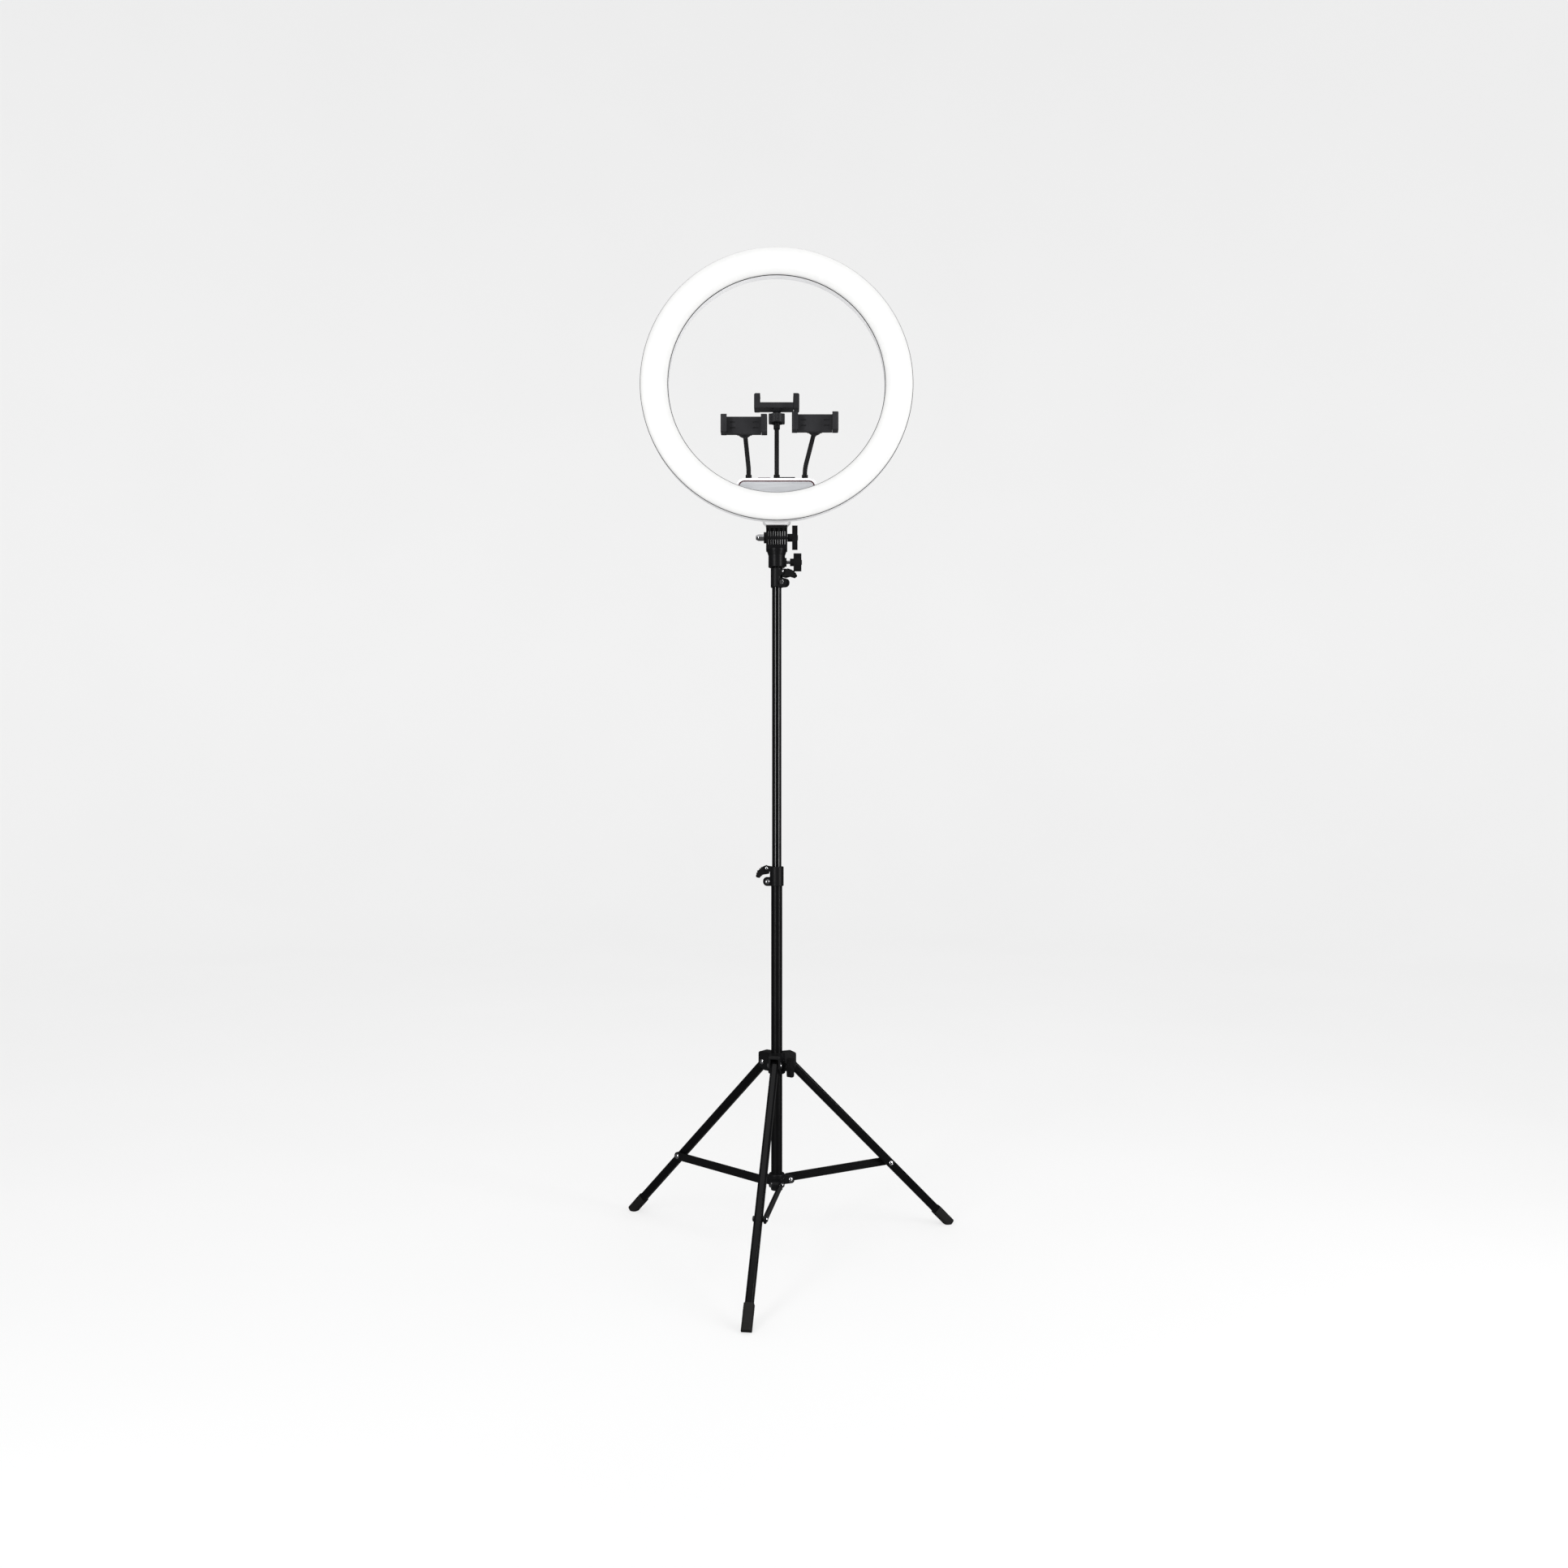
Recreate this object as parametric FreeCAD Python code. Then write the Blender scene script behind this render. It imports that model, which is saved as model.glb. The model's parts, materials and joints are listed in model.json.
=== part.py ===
import FreeCAD, Part
import math
import os

# Ring light on a folding three-leg stand. Millimetres, +Z up, the lit face looks along -Y.
# The parts are built round the column's axis, then moved once so that the origin is the middle of
# the whole object's footprint on the floor.

X = FreeCAD.Vector(1, 0, 0)
Y = FreeCAD.Vector(0, 1, 0)
Z = FreeCAD.Vector(0, 0, 1)

# ---------------------------------------------------------------- driving dimensions
SLIDE_GAP = 0.4            # a tube inside the next one, and a sleeve outside one
RUN_FIT = 0.06             # a pin in a hole that turns on it
WALL = 1.1                 # wall of the column's tubes

BASE_R = 9.5               # the three column tubes, outside
MID_R = BASE_R - WALL - SLIDE_GAP
TOP_R = MID_R - WALL - SLIDE_GAP
COLUMN_BOTTOM = 102.0      # lowest point of the end plug
BASE_TOP = 648.0
COLLAR_HEIGHT = 33.0
LOWER_COLLAR_Z = 619.0
UPPER_COLLAR_Z = 1127.0
MID_BOTTOM = 577.0
MID_TOP = 1156.0
TOP_BOTTOM = 602.0
TOP_TOP = 1162.0
SPIGOT_R = 7.94            # the usual 5/8 inch lamp spigot
GROOVE_R = 6.4
SPIGOT_TOP = 1190.0
SCREW_Z = 1170.0           # height of the receiver's clamping screw and of the spigot's groove

LEG_TURN = -7.16           # turn of the front leg about the column, from -Y towards +X
LEG_AZIMUTHS = {"front": LEG_TURN, "right": LEG_TURN + 120, "left": LEG_TURN - 120}
LEG_PIVOT_R = 24.0
LEG_PIVOT_Z = 318.0
LEG_SPREAD = 44.66         # angle from the vertical, spread
LEG_LENGTH = 432.0
LEG_DEEP = 14.0            # section in the leg's own upright plane
LEG_WIDE = 12.8            # section across that plane
BRACE_ON_LEG = 273.0       # from the leg's pivot to the brace's rivet
BRACE_PIVOT_Z = 117.0
BRACE_SIDE = 8.8           # the brace's near face, clear of the boot it folds past
BRACE_DEPTH = 3.2
BRACE_TALL = 14.0

RING_R = 228.0
RING_HOLE_R = 181.0
RING_Z = 1460.0
RING_FRONT = -54.0
RING_BACK = -24.0
TILT_Z = 1212.0
BOX_HALF = 68.5            # half width of the control box
BOX_BOTTOM = 1259.0
BOX_TOP = 1308.0
BOX_FRONT = -23.5
BOX_BACK = 25.0
NECK_R = 4.0               # gooseneck
NECK_Y = 6.0
NECK_PITCH = 48.0
CLAMP_HALF = 38.5          # half width of a closed phone clamp


# ---------------------------------------------------------------- helpers
def vec(x, y, z):
    return FreeCAD.Vector(x, y, z)


def rounded_wire(corners, place):
    """A closed wire through corners (a, b) or (a, b, radius); place turns (a, b) into a point."""
    points = [place(c[0], c[1]) for c in corners]
    starts, ends, arcs = [], [], []
    count = len(corners)
    for i, corner in enumerate(corners):
        here, before, after = points[i], points[i - 1], points[(i + 1) % count]
        radius = corner[2] if len(corner) > 2 else 0
        if not radius:
            starts.append(here)
            ends.append(here)
            arcs.append(None)
            continue
        back = (before - here).normalize()
        ahead = (after - here).normalize()
        half = back.getAngle(ahead) / 2
        reach = radius / math.tan(half)
        middle = (back + ahead).normalize() * (radius / math.sin(half))
        starts.append(here + back * reach)
        ends.append(here + ahead * reach)
        arcs.append(here + middle - (back + ahead).normalize() * radius)
    edges = []
    for i in range(count):
        if arcs[i]:
            edges.append(Part.Arc(starts[i], arcs[i], ends[i]).toShape())
        following = starts[(i + 1) % count]
        if (following - ends[i]).Length > 1e-6:
            edges.append(Part.LineSegment(ends[i], following).toShape())
    return Part.Wire(Part.__sortEdges__(edges))


def slab(corners, axis, low, high):
    """A flat outline in the plane across axis, extruded from low to high along it."""
    places = {
        "x": lambda a, b: vec(low, a, b),
        "y": lambda a, b: vec(a, low, b),
        "z": lambda a, b: vec(a, b, low),
    }
    along = {"x": X, "y": Y, "z": Z}[axis] * (high - low)
    return Part.Face(rounded_wire(corners, places[axis])).extrude(along)


def block(x0, x1, y0, y1, z0, z1):
    return Part.makeBox(x1 - x0, y1 - y0, z1 - z0, vec(x0, y0, z0))


def bar(x0, x1, y0, y1, z0, z1, radius, axis="z"):
    """A block whose four edges along axis are rounded."""
    spans = {"x": (y0, y1, z0, z1, x0, x1), "y": (x0, x1, z0, z1, y0, y1), "z": (x0, x1, y0, y1, z0, z1)}
    a0, a1, b0, b1, low, high = spans[axis]
    corners = [(a0, b0, radius), (a1, b0, radius), (a1, b1, radius), (a0, b1, radius)]
    return slab(corners, axis, low, high)


def rod(radius, start, axis, length):
    return Part.makeCylinder(radius, length, start, axis)


def pipe(outer, inner, start, axis, length):
    return rod(outer, start, axis, length).cut(rod(inner, start, axis, length))


def turned(corners, centre, axis):
    """A solid of revolution: corners (radius, height[, fillet]) about the axis through centre."""
    across = X if abs(axis.dot(X)) < 0.5 else Y
    face = Part.Face(rounded_wire(corners, lambda r, h: centre + across * r + axis * h))
    return face.revolve(centre, axis, 360)


def joined(first, *others):
    return first.fuse(list(others)).removeSplitter()


def group(shapes):
    return Part.makeCompound(shapes)


def facing(shape, azimuth):
    """Turns a shape made with its outward side along +X to an azimuth measured from -Y towards +X."""
    copy = shape.copy()
    copy.rotate(vec(0, 0, 0), Z, azimuth - 90)
    return copy


# ---------------------------------------------------------------- column
def tube_bushing(tube_bottom, tube_r, outer_bore):
    """A plastic sleeve pushed into a tube's lower end, with a collar that runs in the tube outside it."""
    start = vec(0, 0, tube_bottom)
    inner = tube_r - WALL
    flange = rod(outer_bore - RUN_FIT, start - Z * 8, Z, 8)
    plug = rod(inner, start, Z, 10)
    return joined(flange, plug).cut(rod(inner - 1.6, start - Z * 9, Z, 20))


def column_parts():
    base_bore = BASE_R - WALL
    mid_bore = MID_R - WALL
    plug = joined(rod(BASE_R + 0.4, vec(0, 0, COLUMN_BOTTOM), Z, 4), rod(base_bore, vec(0, 0, 106), Z, 14))
    plug = plug.cut(rod(base_bore - 3, vec(0, 0, 109), Z, 12))
    plug_r = TOP_R - WALL
    spigot = turned(
        [(0, 1150), (plug_r, 1150), (plug_r, TOP_TOP), (SPIGOT_R, TOP_TOP), (SPIGOT_R, SCREW_Z - 4.5),
         (GROOVE_R, SCREW_Z - 2.5), (GROOVE_R, SCREW_Z + 2.5), (SPIGOT_R, SCREW_Z + 4.5),
         (SPIGOT_R, SPIGOT_TOP, 1), (0, SPIGOT_TOP)],
        vec(0, 0, 0), Z,
    )
    return {
        "base_tube": pipe(BASE_R, base_bore, vec(0, 0, 106), Z, BASE_TOP - 106),
        "end_plug": plug,
        "mid_tube": pipe(MID_R, mid_bore, vec(0, 0, MID_BOTTOM), Z, MID_TOP - MID_BOTTOM),
        "mid_tube_bushing": tube_bushing(MID_BOTTOM, MID_R, base_bore),
        "top_tube": pipe(TOP_R, TOP_R - WALL, vec(0, 0, TOP_BOTTOM), Z, TOP_TOP - TOP_BOTTOM),
        "top_tube_bushing": tube_bushing(TOP_BOTTOM, TOP_R, mid_bore),
        "spigot": spigot,
    }


# ---------------------------------------------------------------- collars and their flip levers
COLLAR_WALL = 2.3
LEVER_OUT = 5.7              # the lever's pivot, outward of the collar's surface
EAR_BOLT = (4.2, 7.5)        # outward of the collar's surface, above its lower edge
LOWER_LEVER = (30.5, 0)      # pivot above the collar's lower edge, and how far the shut lever is lifted
UPPER_LEVER = (26.0, 18)


def collar(tube_r, tube_top, inner_r, bottom, lever):
    """A split sleeve on a tube's top end, with two ears and two lever lugs on its +X side."""
    skin = tube_r + COLLAR_WALL
    top = bottom + COLLAR_HEIGHT
    body = turned(
        [(0, bottom), (skin, bottom, 1), (skin, top, 1.2), (0, top)], vec(0, 0, 0), Z
    )
    ear_x, ear_z = skin + EAR_BOLT[0], bottom + EAR_BOLT[1]
    ears = slab(
        [(0, bottom + 0.2), (ear_x + 7.3, bottom + 0.2, 7), (ear_x + 7.3, bottom + 14.8, 7), (0, bottom + 14.8)],
        "y", -6, 6,
    )
    pivot_x, pivot_z = skin + LEVER_OUT, bottom + lever[0]
    lugs = slab(
        [(0, pivot_z - 6), (pivot_x, pivot_z - 6, 3), (pivot_x + 4, pivot_z, 3), (pivot_x, pivot_z + 4, 3),
         (skin - 4, pivot_z + 2.5), (0, pivot_z + 2.5)],
        "y", -7, 7,
    )
    body = joined(body, ears, lugs)
    lever_room = block(skin + 0.2, skin + 40, -5.1, 5.1, bottom + 15.2, top + 10)
    split = block(0, skin + 30, -1, 1, bottom - 1, top + 1)
    holes = [
        rod(tube_r, vec(0, 0, bottom - 1), Z, tube_top - bottom + 1),
        rod(inner_r + SLIDE_GAP, vec(0, 0, bottom), Z, COLLAR_HEIGHT + 12),
        rod(2.5, vec(ear_x, -20, ear_z), Y, 40),
        rod(2.0, vec(pivot_x, -20, pivot_z), Y, 40),
    ]
    return body.cut(group([lever_room, split] + holes))


def collar_bolts(tube_r, bottom, lever):
    """The bolt through a collar's ears and the lever's pivot pin."""
    skin = tube_r + COLLAR_WALL
    ear = vec(skin + EAR_BOLT[0], 0, bottom + EAR_BOLT[1])
    pivot = vec(skin + LEVER_OUT, 0, bottom + lever[0])
    bolt = joined(
        rod(2.5, ear - Y * 7.6, Y, 15.2),
        rod(3.6, ear - Y * 8.2, Y, 2.2),
        rod(4.0, ear + Y * 6.0, Y, 2.6),
    )
    pin = rod(2.0, pivot - Y * 7.4, Y, 14.8)
    return group([bolt, pin])


def collar_lever(tube_r, bottom, lever):
    """A curved, ribbed lever that leaves the collar's top and bends down over the ears."""
    skin = tube_r + COLLAR_WALL
    outline = [(-4.9, -9.6, 2), (-4.9, 2.5, 3.5), (0, 5, 3), (6.5, 2, 6), (14.5, -4.6, 5),
               (18.7, -15.1, 2), (12.2, -16.9, 2), (6.5, -11.3, 5)]
    body = slab(outline, "y", -4.7, 4.7)
    ribs = []
    for x, z in ((8.6, 0.7), (11.2, -1.5), (15.0, -5.2), (16.4, -9.0)):
        ribs.append(rod(0.9, vec(x, -4.7, z), Y, 9.4))
    body = joined(body, *ribs).cut(rod(2.0 + RUN_FIT, vec(0, -10, 0), Y, 20))
    body.rotate(vec(0, 0, 0), Y, -lever[1])
    body.translate(vec(skin + LEVER_OUT, 0, bottom + lever[0]))
    return body


UPPER_COLLAR_AZIMUTH = 60
LOWER_COLLAR_AZIMUTH = -88


def collar_parts():
    low = (BASE_R, LOWER_COLLAR_Z, LOWER_LEVER)
    high = (MID_R, UPPER_COLLAR_Z, UPPER_LEVER)
    lower, upper = LOWER_COLLAR_AZIMUTH, UPPER_COLLAR_AZIMUTH
    return {
        "lower_collar": facing(collar(BASE_R, BASE_TOP, MID_R, LOWER_COLLAR_Z, LOWER_LEVER), lower),
        "lower_collar_bolt": facing(collar_bolts(*low), lower),
        "lower_lever": facing(collar_lever(*low), lower),
        "upper_collar": facing(collar(MID_R, MID_TOP, TOP_R, UPPER_COLLAR_Z, UPPER_LEVER), upper),
        "upper_collar_bolt": facing(collar_bolts(*high), upper),
        "upper_lever": facing(collar_lever(*high), upper),
    }


# ---------------------------------------------------------------- tripod
HUB_BOTTOM = 300.0
HUB_TOP = 336.0
HUB_SLEEVE_R = 14.5
BRACE_HUB_R = 13.5
PIN_R = 2.5
KNOB_AZIMUTH = 53.0


def leg_hub():
    """The sliding hub: a sleeve with a fork for each leg and a boss for its lock knob."""
    sleeve = turned(
        [(0, HUB_BOTTOM), (HUB_SLEEVE_R, HUB_BOTTOM, 2), (HUB_SLEEVE_R, HUB_TOP, 1.5), (0, HUB_TOP)],
        vec(0, 0, 0), Z,
    )
    cheek = LEG_WIDE / 2 + 0.4
    forks, pockets = [], []
    for azimuth in LEG_AZIMUTHS.values():
        arm = slab(
            [(0, HUB_BOTTOM + 4), (19, HUB_BOTTOM + 4, 4), (32, LEG_PIVOT_Z - 7, 5), (32, HUB_TOP - 0.5, 4),
             (0, HUB_TOP - 0.5)],
            "y", -cheek - 2.8, cheek + 2.8,
        )
        pocket = block(HUB_SLEEVE_R + 0.8, 40, -cheek, cheek, HUB_BOTTOM - 2, LEG_PIVOT_Z + 12)
        hole = rod(PIN_R, vec(LEG_PIVOT_R, -20, LEG_PIVOT_Z), Y, 40)
        forks.append(facing(arm, azimuth))
        pockets.append(facing(group([pocket, hole]), azimuth))
    boss = facing(rod(6.5, vec(0, 0, 313), X, 18.5), KNOB_AZIMUTH)
    body = joined(sleeve, boss, *forks)
    screw_hole = facing(rod(3, vec(0, 0, 313), X, 30), KNOB_AZIMUTH)
    bore = rod(BASE_R + SLIDE_GAP, vec(0, 0, HUB_BOTTOM - 1), Z, 60)
    return body.cut(group(pockets + [screw_hole, bore]))


def leg_hub_pins():
    pins = []
    reach = LEG_WIDE / 2 + 3.2
    for azimuth in LEG_AZIMUTHS.values():
        middle = vec(LEG_PIVOT_R, 0, LEG_PIVOT_Z)
        pin = joined(
            rod(PIN_R, middle - Y * reach, Y, 2 * reach),
            rod(4, middle - Y * (reach + 1.3), Y, 1.3),
            rod(4, middle + Y * reach, Y, 1.3),
        )
        pins.append(facing(pin, azimuth))
    return group(pins)


def wing_knob(bore_r, start, head, tall, thick, wide):
    """A two-winged knob on a round stem, along +X: stem from start, head from head to head + thick."""
    stem = rod(6.5, vec(start, 0, 0), X, head - start + 2)
    wings = slab(
        [(-wide / 2 + 1, -tall / 2, 3), (wide / 2 - 1, -tall / 2, 3), (wide / 2, 0), (wide / 2 - 1, tall / 2, 3),
         (-wide / 2 + 1, tall / 2, 3), (-wide / 2, 0)],
        "x", head, head + thick,
    )
    return joined(stem, wings).cut(rod(bore_r, vec(start - 1, 0, 0), X, head - start + 3))


def hub_knob():
    """The wing knob that locks the hub, with the screw whose end stops short of the tube."""
    knob = wing_knob(2.95, 18.9, 24.5, 32, 9, 11)
    screw = rod(2.95, vec(BASE_R + 0.4, 0, 0), X, 18)
    body = joined(knob, screw)
    body.translate(vec(0, 0, 313))
    return facing(body, KNOB_AZIMUTH)


def leg_section(grow, top, bottom, top_round):
    """The leg's rounded section along -Z from top to bottom, grow larger all round."""
    deep, wide = LEG_DEEP / 2 + grow, LEG_WIDE / 2 + grow
    body = bar(-deep, deep, -wide, wide, -bottom, top, 3.5 + grow)
    if top_round:
        end = slab([(-deep, -bottom - 1), (deep, -bottom - 1), (deep, top, deep - 0.1), (-deep, top, deep - 0.1)],
                   "y", -wide, wide)
        body = body.common(end)
    return body


def placed_on_leg(shape, azimuth):
    """Moves a shape made along -Z from the leg's pivot to where the spread leg is."""
    copy = shape.copy()
    copy.rotate(vec(0, 0, 0), Y, -LEG_SPREAD)
    copy.translate(vec(LEG_PIVOT_R, 0, LEG_PIVOT_Z))
    return facing(copy, azimuth)


def leg(azimuth):
    """A closed-end leg tube with its pivot hole, the brace's spacer and the far head of the brace's rivet."""
    body = leg_section(0, LEG_DEEP / 2, LEG_LENGTH, True)
    hollow = leg_section(-1.2, -14, LEG_LENGTH - 2, False)
    hole = rod(PIN_R + RUN_FIT, vec(0, -20, 0), Y, 40)
    rivet = rod(4.2, vec(0, -LEG_WIDE / 2 - 1.4, -BRACE_ON_LEG), Y, 2.0)
    spacer = rod(4.6, vec(0, LEG_WIDE / 2 - 0.6, -BRACE_ON_LEG), Y, BRACE_SIDE - LEG_WIDE / 2 + 0.4)
    body = joined(body.cut(group([hollow, hole])), rivet, spacer)
    return placed_on_leg(body, azimuth)


def foot(azimuth):
    """A rubber boot on the leg's end, cut flat where it stands on the floor."""
    boot = leg_section(1.5, -406, 446, False).cut(leg_section(0, -400, LEG_LENGTH, False))
    boot = placed_on_leg(boot, azimuth)
    return boot.common(block(-500, 500, -500, 500, 0, 100))


def brace_hub():
    """The fixed hub at the base tube's lower end, with one arm beside each brace."""
    sleeve = turned(
        [(0, 107), (BRACE_HUB_R, 107, 1.2), (BRACE_HUB_R, 130, 2), (0, 130)], vec(0, 0, 0), Z
    )
    arms, holes = [], []
    for azimuth in LEG_AZIMUTHS.values():
        low, high = BRACE_PIVOT_Z - 6.5, BRACE_PIVOT_Z + 6.5
        arm = slab([(0, low), (31, low, 5), (31, high, 5), (0, high)], "y", -4.5, BRACE_SIDE - 0.4)
        arms.append(facing(arm, azimuth))
        holes.append(facing(rod(PIN_R, vec(LEG_PIVOT_R, -20, BRACE_PIVOT_Z), Y, 40), azimuth))
    bore = rod(BASE_R, vec(0, 0, 90), Z, 60)
    return joined(sleeve, *arms).cut(group(holes + [bore]))


def brace_hub_pins():
    pins = []
    outer = BRACE_SIDE + BRACE_DEPTH + 0.4
    for azimuth in LEG_AZIMUTHS.values():
        middle = vec(LEG_PIVOT_R, 0, BRACE_PIVOT_Z)
        pin = joined(
            rod(PIN_R, middle - Y * 5.0, Y, 5.0 + outer),
            rod(4, middle - Y * 6.0, Y, 1.5),
            rod(4, middle + Y * outer, Y, 1.3),
        )
        pins.append(facing(pin, azimuth))
    return group(pins)


def brace(azimuth):
    """A pressed steel strip from the brace hub to the leg: a web with flanges and a bead towards the leg."""
    out = LEG_PIVOT_R + BRACE_ON_LEG * math.sin(math.radians(LEG_SPREAD))
    down = LEG_PIVOT_Z - BRACE_ON_LEG * math.cos(math.radians(LEG_SPREAD))
    length = math.hypot(out - LEG_PIVOT_R, down - BRACE_PIVOT_Z)
    half = BRACE_TALL / 2
    far = BRACE_SIDE + BRACE_DEPTH
    outline = [(-half, -half, half - 0.1), (length + half, -half, half - 0.1),
               (length + half, half, half - 0.1), (-half, half, half - 0.1)]
    body = slab(outline, "y", BRACE_SIDE, far)
    for low, high in ((-half + 1.3, -0.9), (0.9, half - 1.3)):
        body = body.cut(bar(9, length - 9, BRACE_SIDE - 1, far - 1.2, low, high, 1.2, "y"))
    body = body.cut(rod(PIN_R + RUN_FIT, vec(0, -20, 0), Y, 40))
    rivet = rod(4.2, vec(length, far - 1, 0), Y, 2.4)
    body = joined(body, rivet)
    body.rotate(vec(0, 0, 0), Y, -math.degrees(math.atan2(down - BRACE_PIVOT_Z, out - LEG_PIVOT_R)))
    body.translate(vec(LEG_PIVOT_R, 0, BRACE_PIVOT_Z))
    return facing(body, azimuth)


def tripod_parts():
    parts = {
        "leg_hub": leg_hub(),
        "leg_hub_pins": leg_hub_pins(),
        "hub_knob": hub_knob(),
        "brace_hub": brace_hub(),
        "brace_hub_pins": brace_hub_pins(),
    }
    for side, azimuth in LEG_AZIMUTHS.items():
        parts["leg_" + side] = leg(azimuth)
        parts["foot_" + side] = foot(azimuth)
        parts["brace_" + side] = brace(azimuth)
    return parts


# ---------------------------------------------------------------- tilting head, lower half
FINGER_PITCH = 7.95
FINGER_LOW = 3.7           # thickness of the receiver's fingers
FINGER_HIGH = 3.5          # thickness of the ring bracket's fingers
FINGER_R = 13.0
BLOCK_HALF = 18.0
BOLT_R = 3.0
RECEIVER_BOTTOM = 1161.2


def receiver():
    """The socket that sits on the spigot, with five upright fingers, a bolt boss and a screw boss."""
    socket = turned(
        [(0, RECEIVER_BOTTOM), (14.2, RECEIVER_BOTTOM, 1), (14.2, 1181), (17, 1189.5, 0.8), (17, 1192),
         (0, 1192)],
        vec(0, 0, 0), Z,
    )
    fingers = slab(
        [(-FINGER_R, 1190), (FINGER_R, 1190), (FINGER_R, TILT_Z + FINGER_R, FINGER_R - 0.1),
         (-FINGER_R, TILT_Z + FINGER_R, FINGER_R - 0.1)],
        "x", -BLOCK_HALF, BLOCK_HALF,
    )
    slots = []
    half = FINGER_HIGH / 2 + (FINGER_PITCH - FINGER_HIGH - FINGER_LOW) / 2
    for step in (-1.5, -0.5, 0.5, 1.5):
        middle = step * FINGER_PITCH
        slots.append(block(middle - half, middle + half, -20, 20, TILT_Z - FINGER_R - 0.5, TILT_Z + 20))
    bolt_boss = rod(9.5, vec(-22, 0, TILT_Z), X, 6)
    screw_boss = rod(7.5, vec(8, 0, SCREW_Z), X, 8.8)
    body = joined(socket, fingers.cut(group(slots)), bolt_boss, screw_boss)
    holes = [
        rod(SPIGOT_R + RUN_FIT, vec(0, 0, RECEIVER_BOTTOM - 1), Z, SPIGOT_TOP + 1.5 - RECEIVER_BOTTOM),
        rod(3, vec(0, 0, SCREW_Z), X, 30),
        rod(BOLT_R + RUN_FIT, vec(-30, 0, TILT_Z), X, 60),
    ]
    return body.cut(group(holes))


def receiver_parts():
    knob = wing_knob(2.95, 22.6, 28.6, 30, 13.4, 13)
    knob.translate(vec(0, 0, SCREW_Z))
    bolt = turned(
        [(0, -35.5), (3.4, -35.5, 1.5), (5.5, -31, 2), (5.5, -22.1), (BOLT_R, -22.1), (BOLT_R, 29), (0, 29)],
        vec(0, 0, TILT_Z), X,
    )
    stem = rod(6.75, vec(18.2, 0, TILT_Z), X, 10)
    handle = bar(26.2, 35.5, -6, 6, TILT_Z - 20.3, TILT_Z + 20.3, 3, "x")
    tee = joined(stem, handle).cut(rod(BOLT_R + RUN_FIT, vec(10, 0, TILT_Z), X, 19.3))
    return {
        "receiver": receiver(),
        "receiver_screw": rod(2.94, vec(GROOVE_R + 0.3, 0, SCREW_Z), X, 19),
        "receiver_knob": knob,
        "tilt_bolt": bolt,
        "tilt_knob": tee,
    }


# ---------------------------------------------------------------- ring
LED_ROWS = ((196.0, 72), (213.0, 80))
LED_BOARD_Y = -31.0


def tilt_bracket():
    """The black block on the neck, with four fingers that hang between the receiver's."""
    body = block(-BLOCK_HALF, BLOCK_HALF, -FINGER_R, FINGER_R, TILT_Z + FINGER_R + 0.6, 1231)
    low = TILT_Z - FINGER_R
    for step in (-1.5, -0.5, 0.5, 1.5):
        middle = step * FINGER_PITCH
        finger = slab(
            [(-FINGER_R, low, FINGER_R - 0.1), (FINGER_R, low, FINGER_R - 0.1), (FINGER_R, 1228),
             (-FINGER_R, 1228)],
            "x", middle - FINGER_HIGH / 2, middle + FINGER_HIGH / 2,
        )
        body = body.fuse(finger)
    return body.removeSplitter().cut(rod(BOLT_R + RUN_FIT, vec(-30, 0, TILT_Z), X, 60))


def ring_parts():
    centre = vec(0, 0, RING_Z)
    rim = -46.0
    skin = 2.0
    housing = turned(
        [(RING_HOLE_R, rim), (RING_HOLE_R + skin, rim), (RING_HOLE_R + skin, RING_BACK - skin, 5),
         (RING_R - skin, RING_BACK - skin, 5), (RING_R - skin, rim), (RING_R, rim), (RING_R, RING_BACK, 7),
         (RING_HOLE_R, RING_BACK, 7)],
        centre, Y,
    )
    seam = rim - 0.2
    bevel = 5.0
    diffuser = turned(
        [(RING_HOLE_R, seam), (RING_HOLE_R + skin, seam), (RING_HOLE_R + skin, RING_FRONT + bevel),
         (RING_HOLE_R + bevel, RING_FRONT + skin), (RING_R - bevel, RING_FRONT + skin),
         (RING_R - skin, RING_FRONT + bevel), (RING_R - skin, seam), (RING_R, seam), (RING_R, RING_FRONT + bevel),
         (RING_R - bevel, RING_FRONT), (RING_HOLE_R + bevel, RING_FRONT), (RING_HOLE_R, RING_FRONT + bevel)],
        centre, Y,
    )
    board = turned(
        [(185, LED_BOARD_Y), (224, LED_BOARD_Y), (224, LED_BOARD_Y + 1.6), (185, LED_BOARD_Y + 1.6)], centre, Y
    )
    chips = []
    for radius, count in LED_ROWS:
        for i in range(count):
            chip = Part.makeBox(3, 0.9, 3, vec(radius - 1.5, LED_BOARD_Y - 0.9, RING_Z - 1.5))
            chip.rotate(centre, Y, 360.0 * i / count)
            chips.append(chip)
    neck = slab(
        [(-17.5, 1231), (17.5, 1231), (24, 1238.5, 3), (24, BOX_BOTTOM), (-24, BOX_BOTTOM), (-24, 1238.5, 3)],
        "y", -21.5, FINGER_R,
    )
    return {
        "rear_housing": housing,
        "diffuser": diffuser,
        "led_board": board,
        "led_chips": group(chips),
        "neck": neck,
        "tilt_bracket": tilt_bracket(),
    }


# ---------------------------------------------------------------- control box
PORT_XS = (9.0, 23.6)
PORT_Y = -10.0
DIAL_X = 42.0
DIAL_Z = 1276.0
SWITCH_Z = 1269.5
INLET_X = 20.0
COVER_HINGE = (-3.2, 1309.9)   # y and z of the USB cover's hinge


def box_outline(inset):
    half, low, high = BOX_HALF - inset, BOX_BOTTOM + inset, BOX_TOP - inset
    return [(-half, low, 8 - inset * 0.5), (half, low, 8 - inset * 0.5), (half, high, 14 - inset),
            (-half, high, 14 - inset)]


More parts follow.
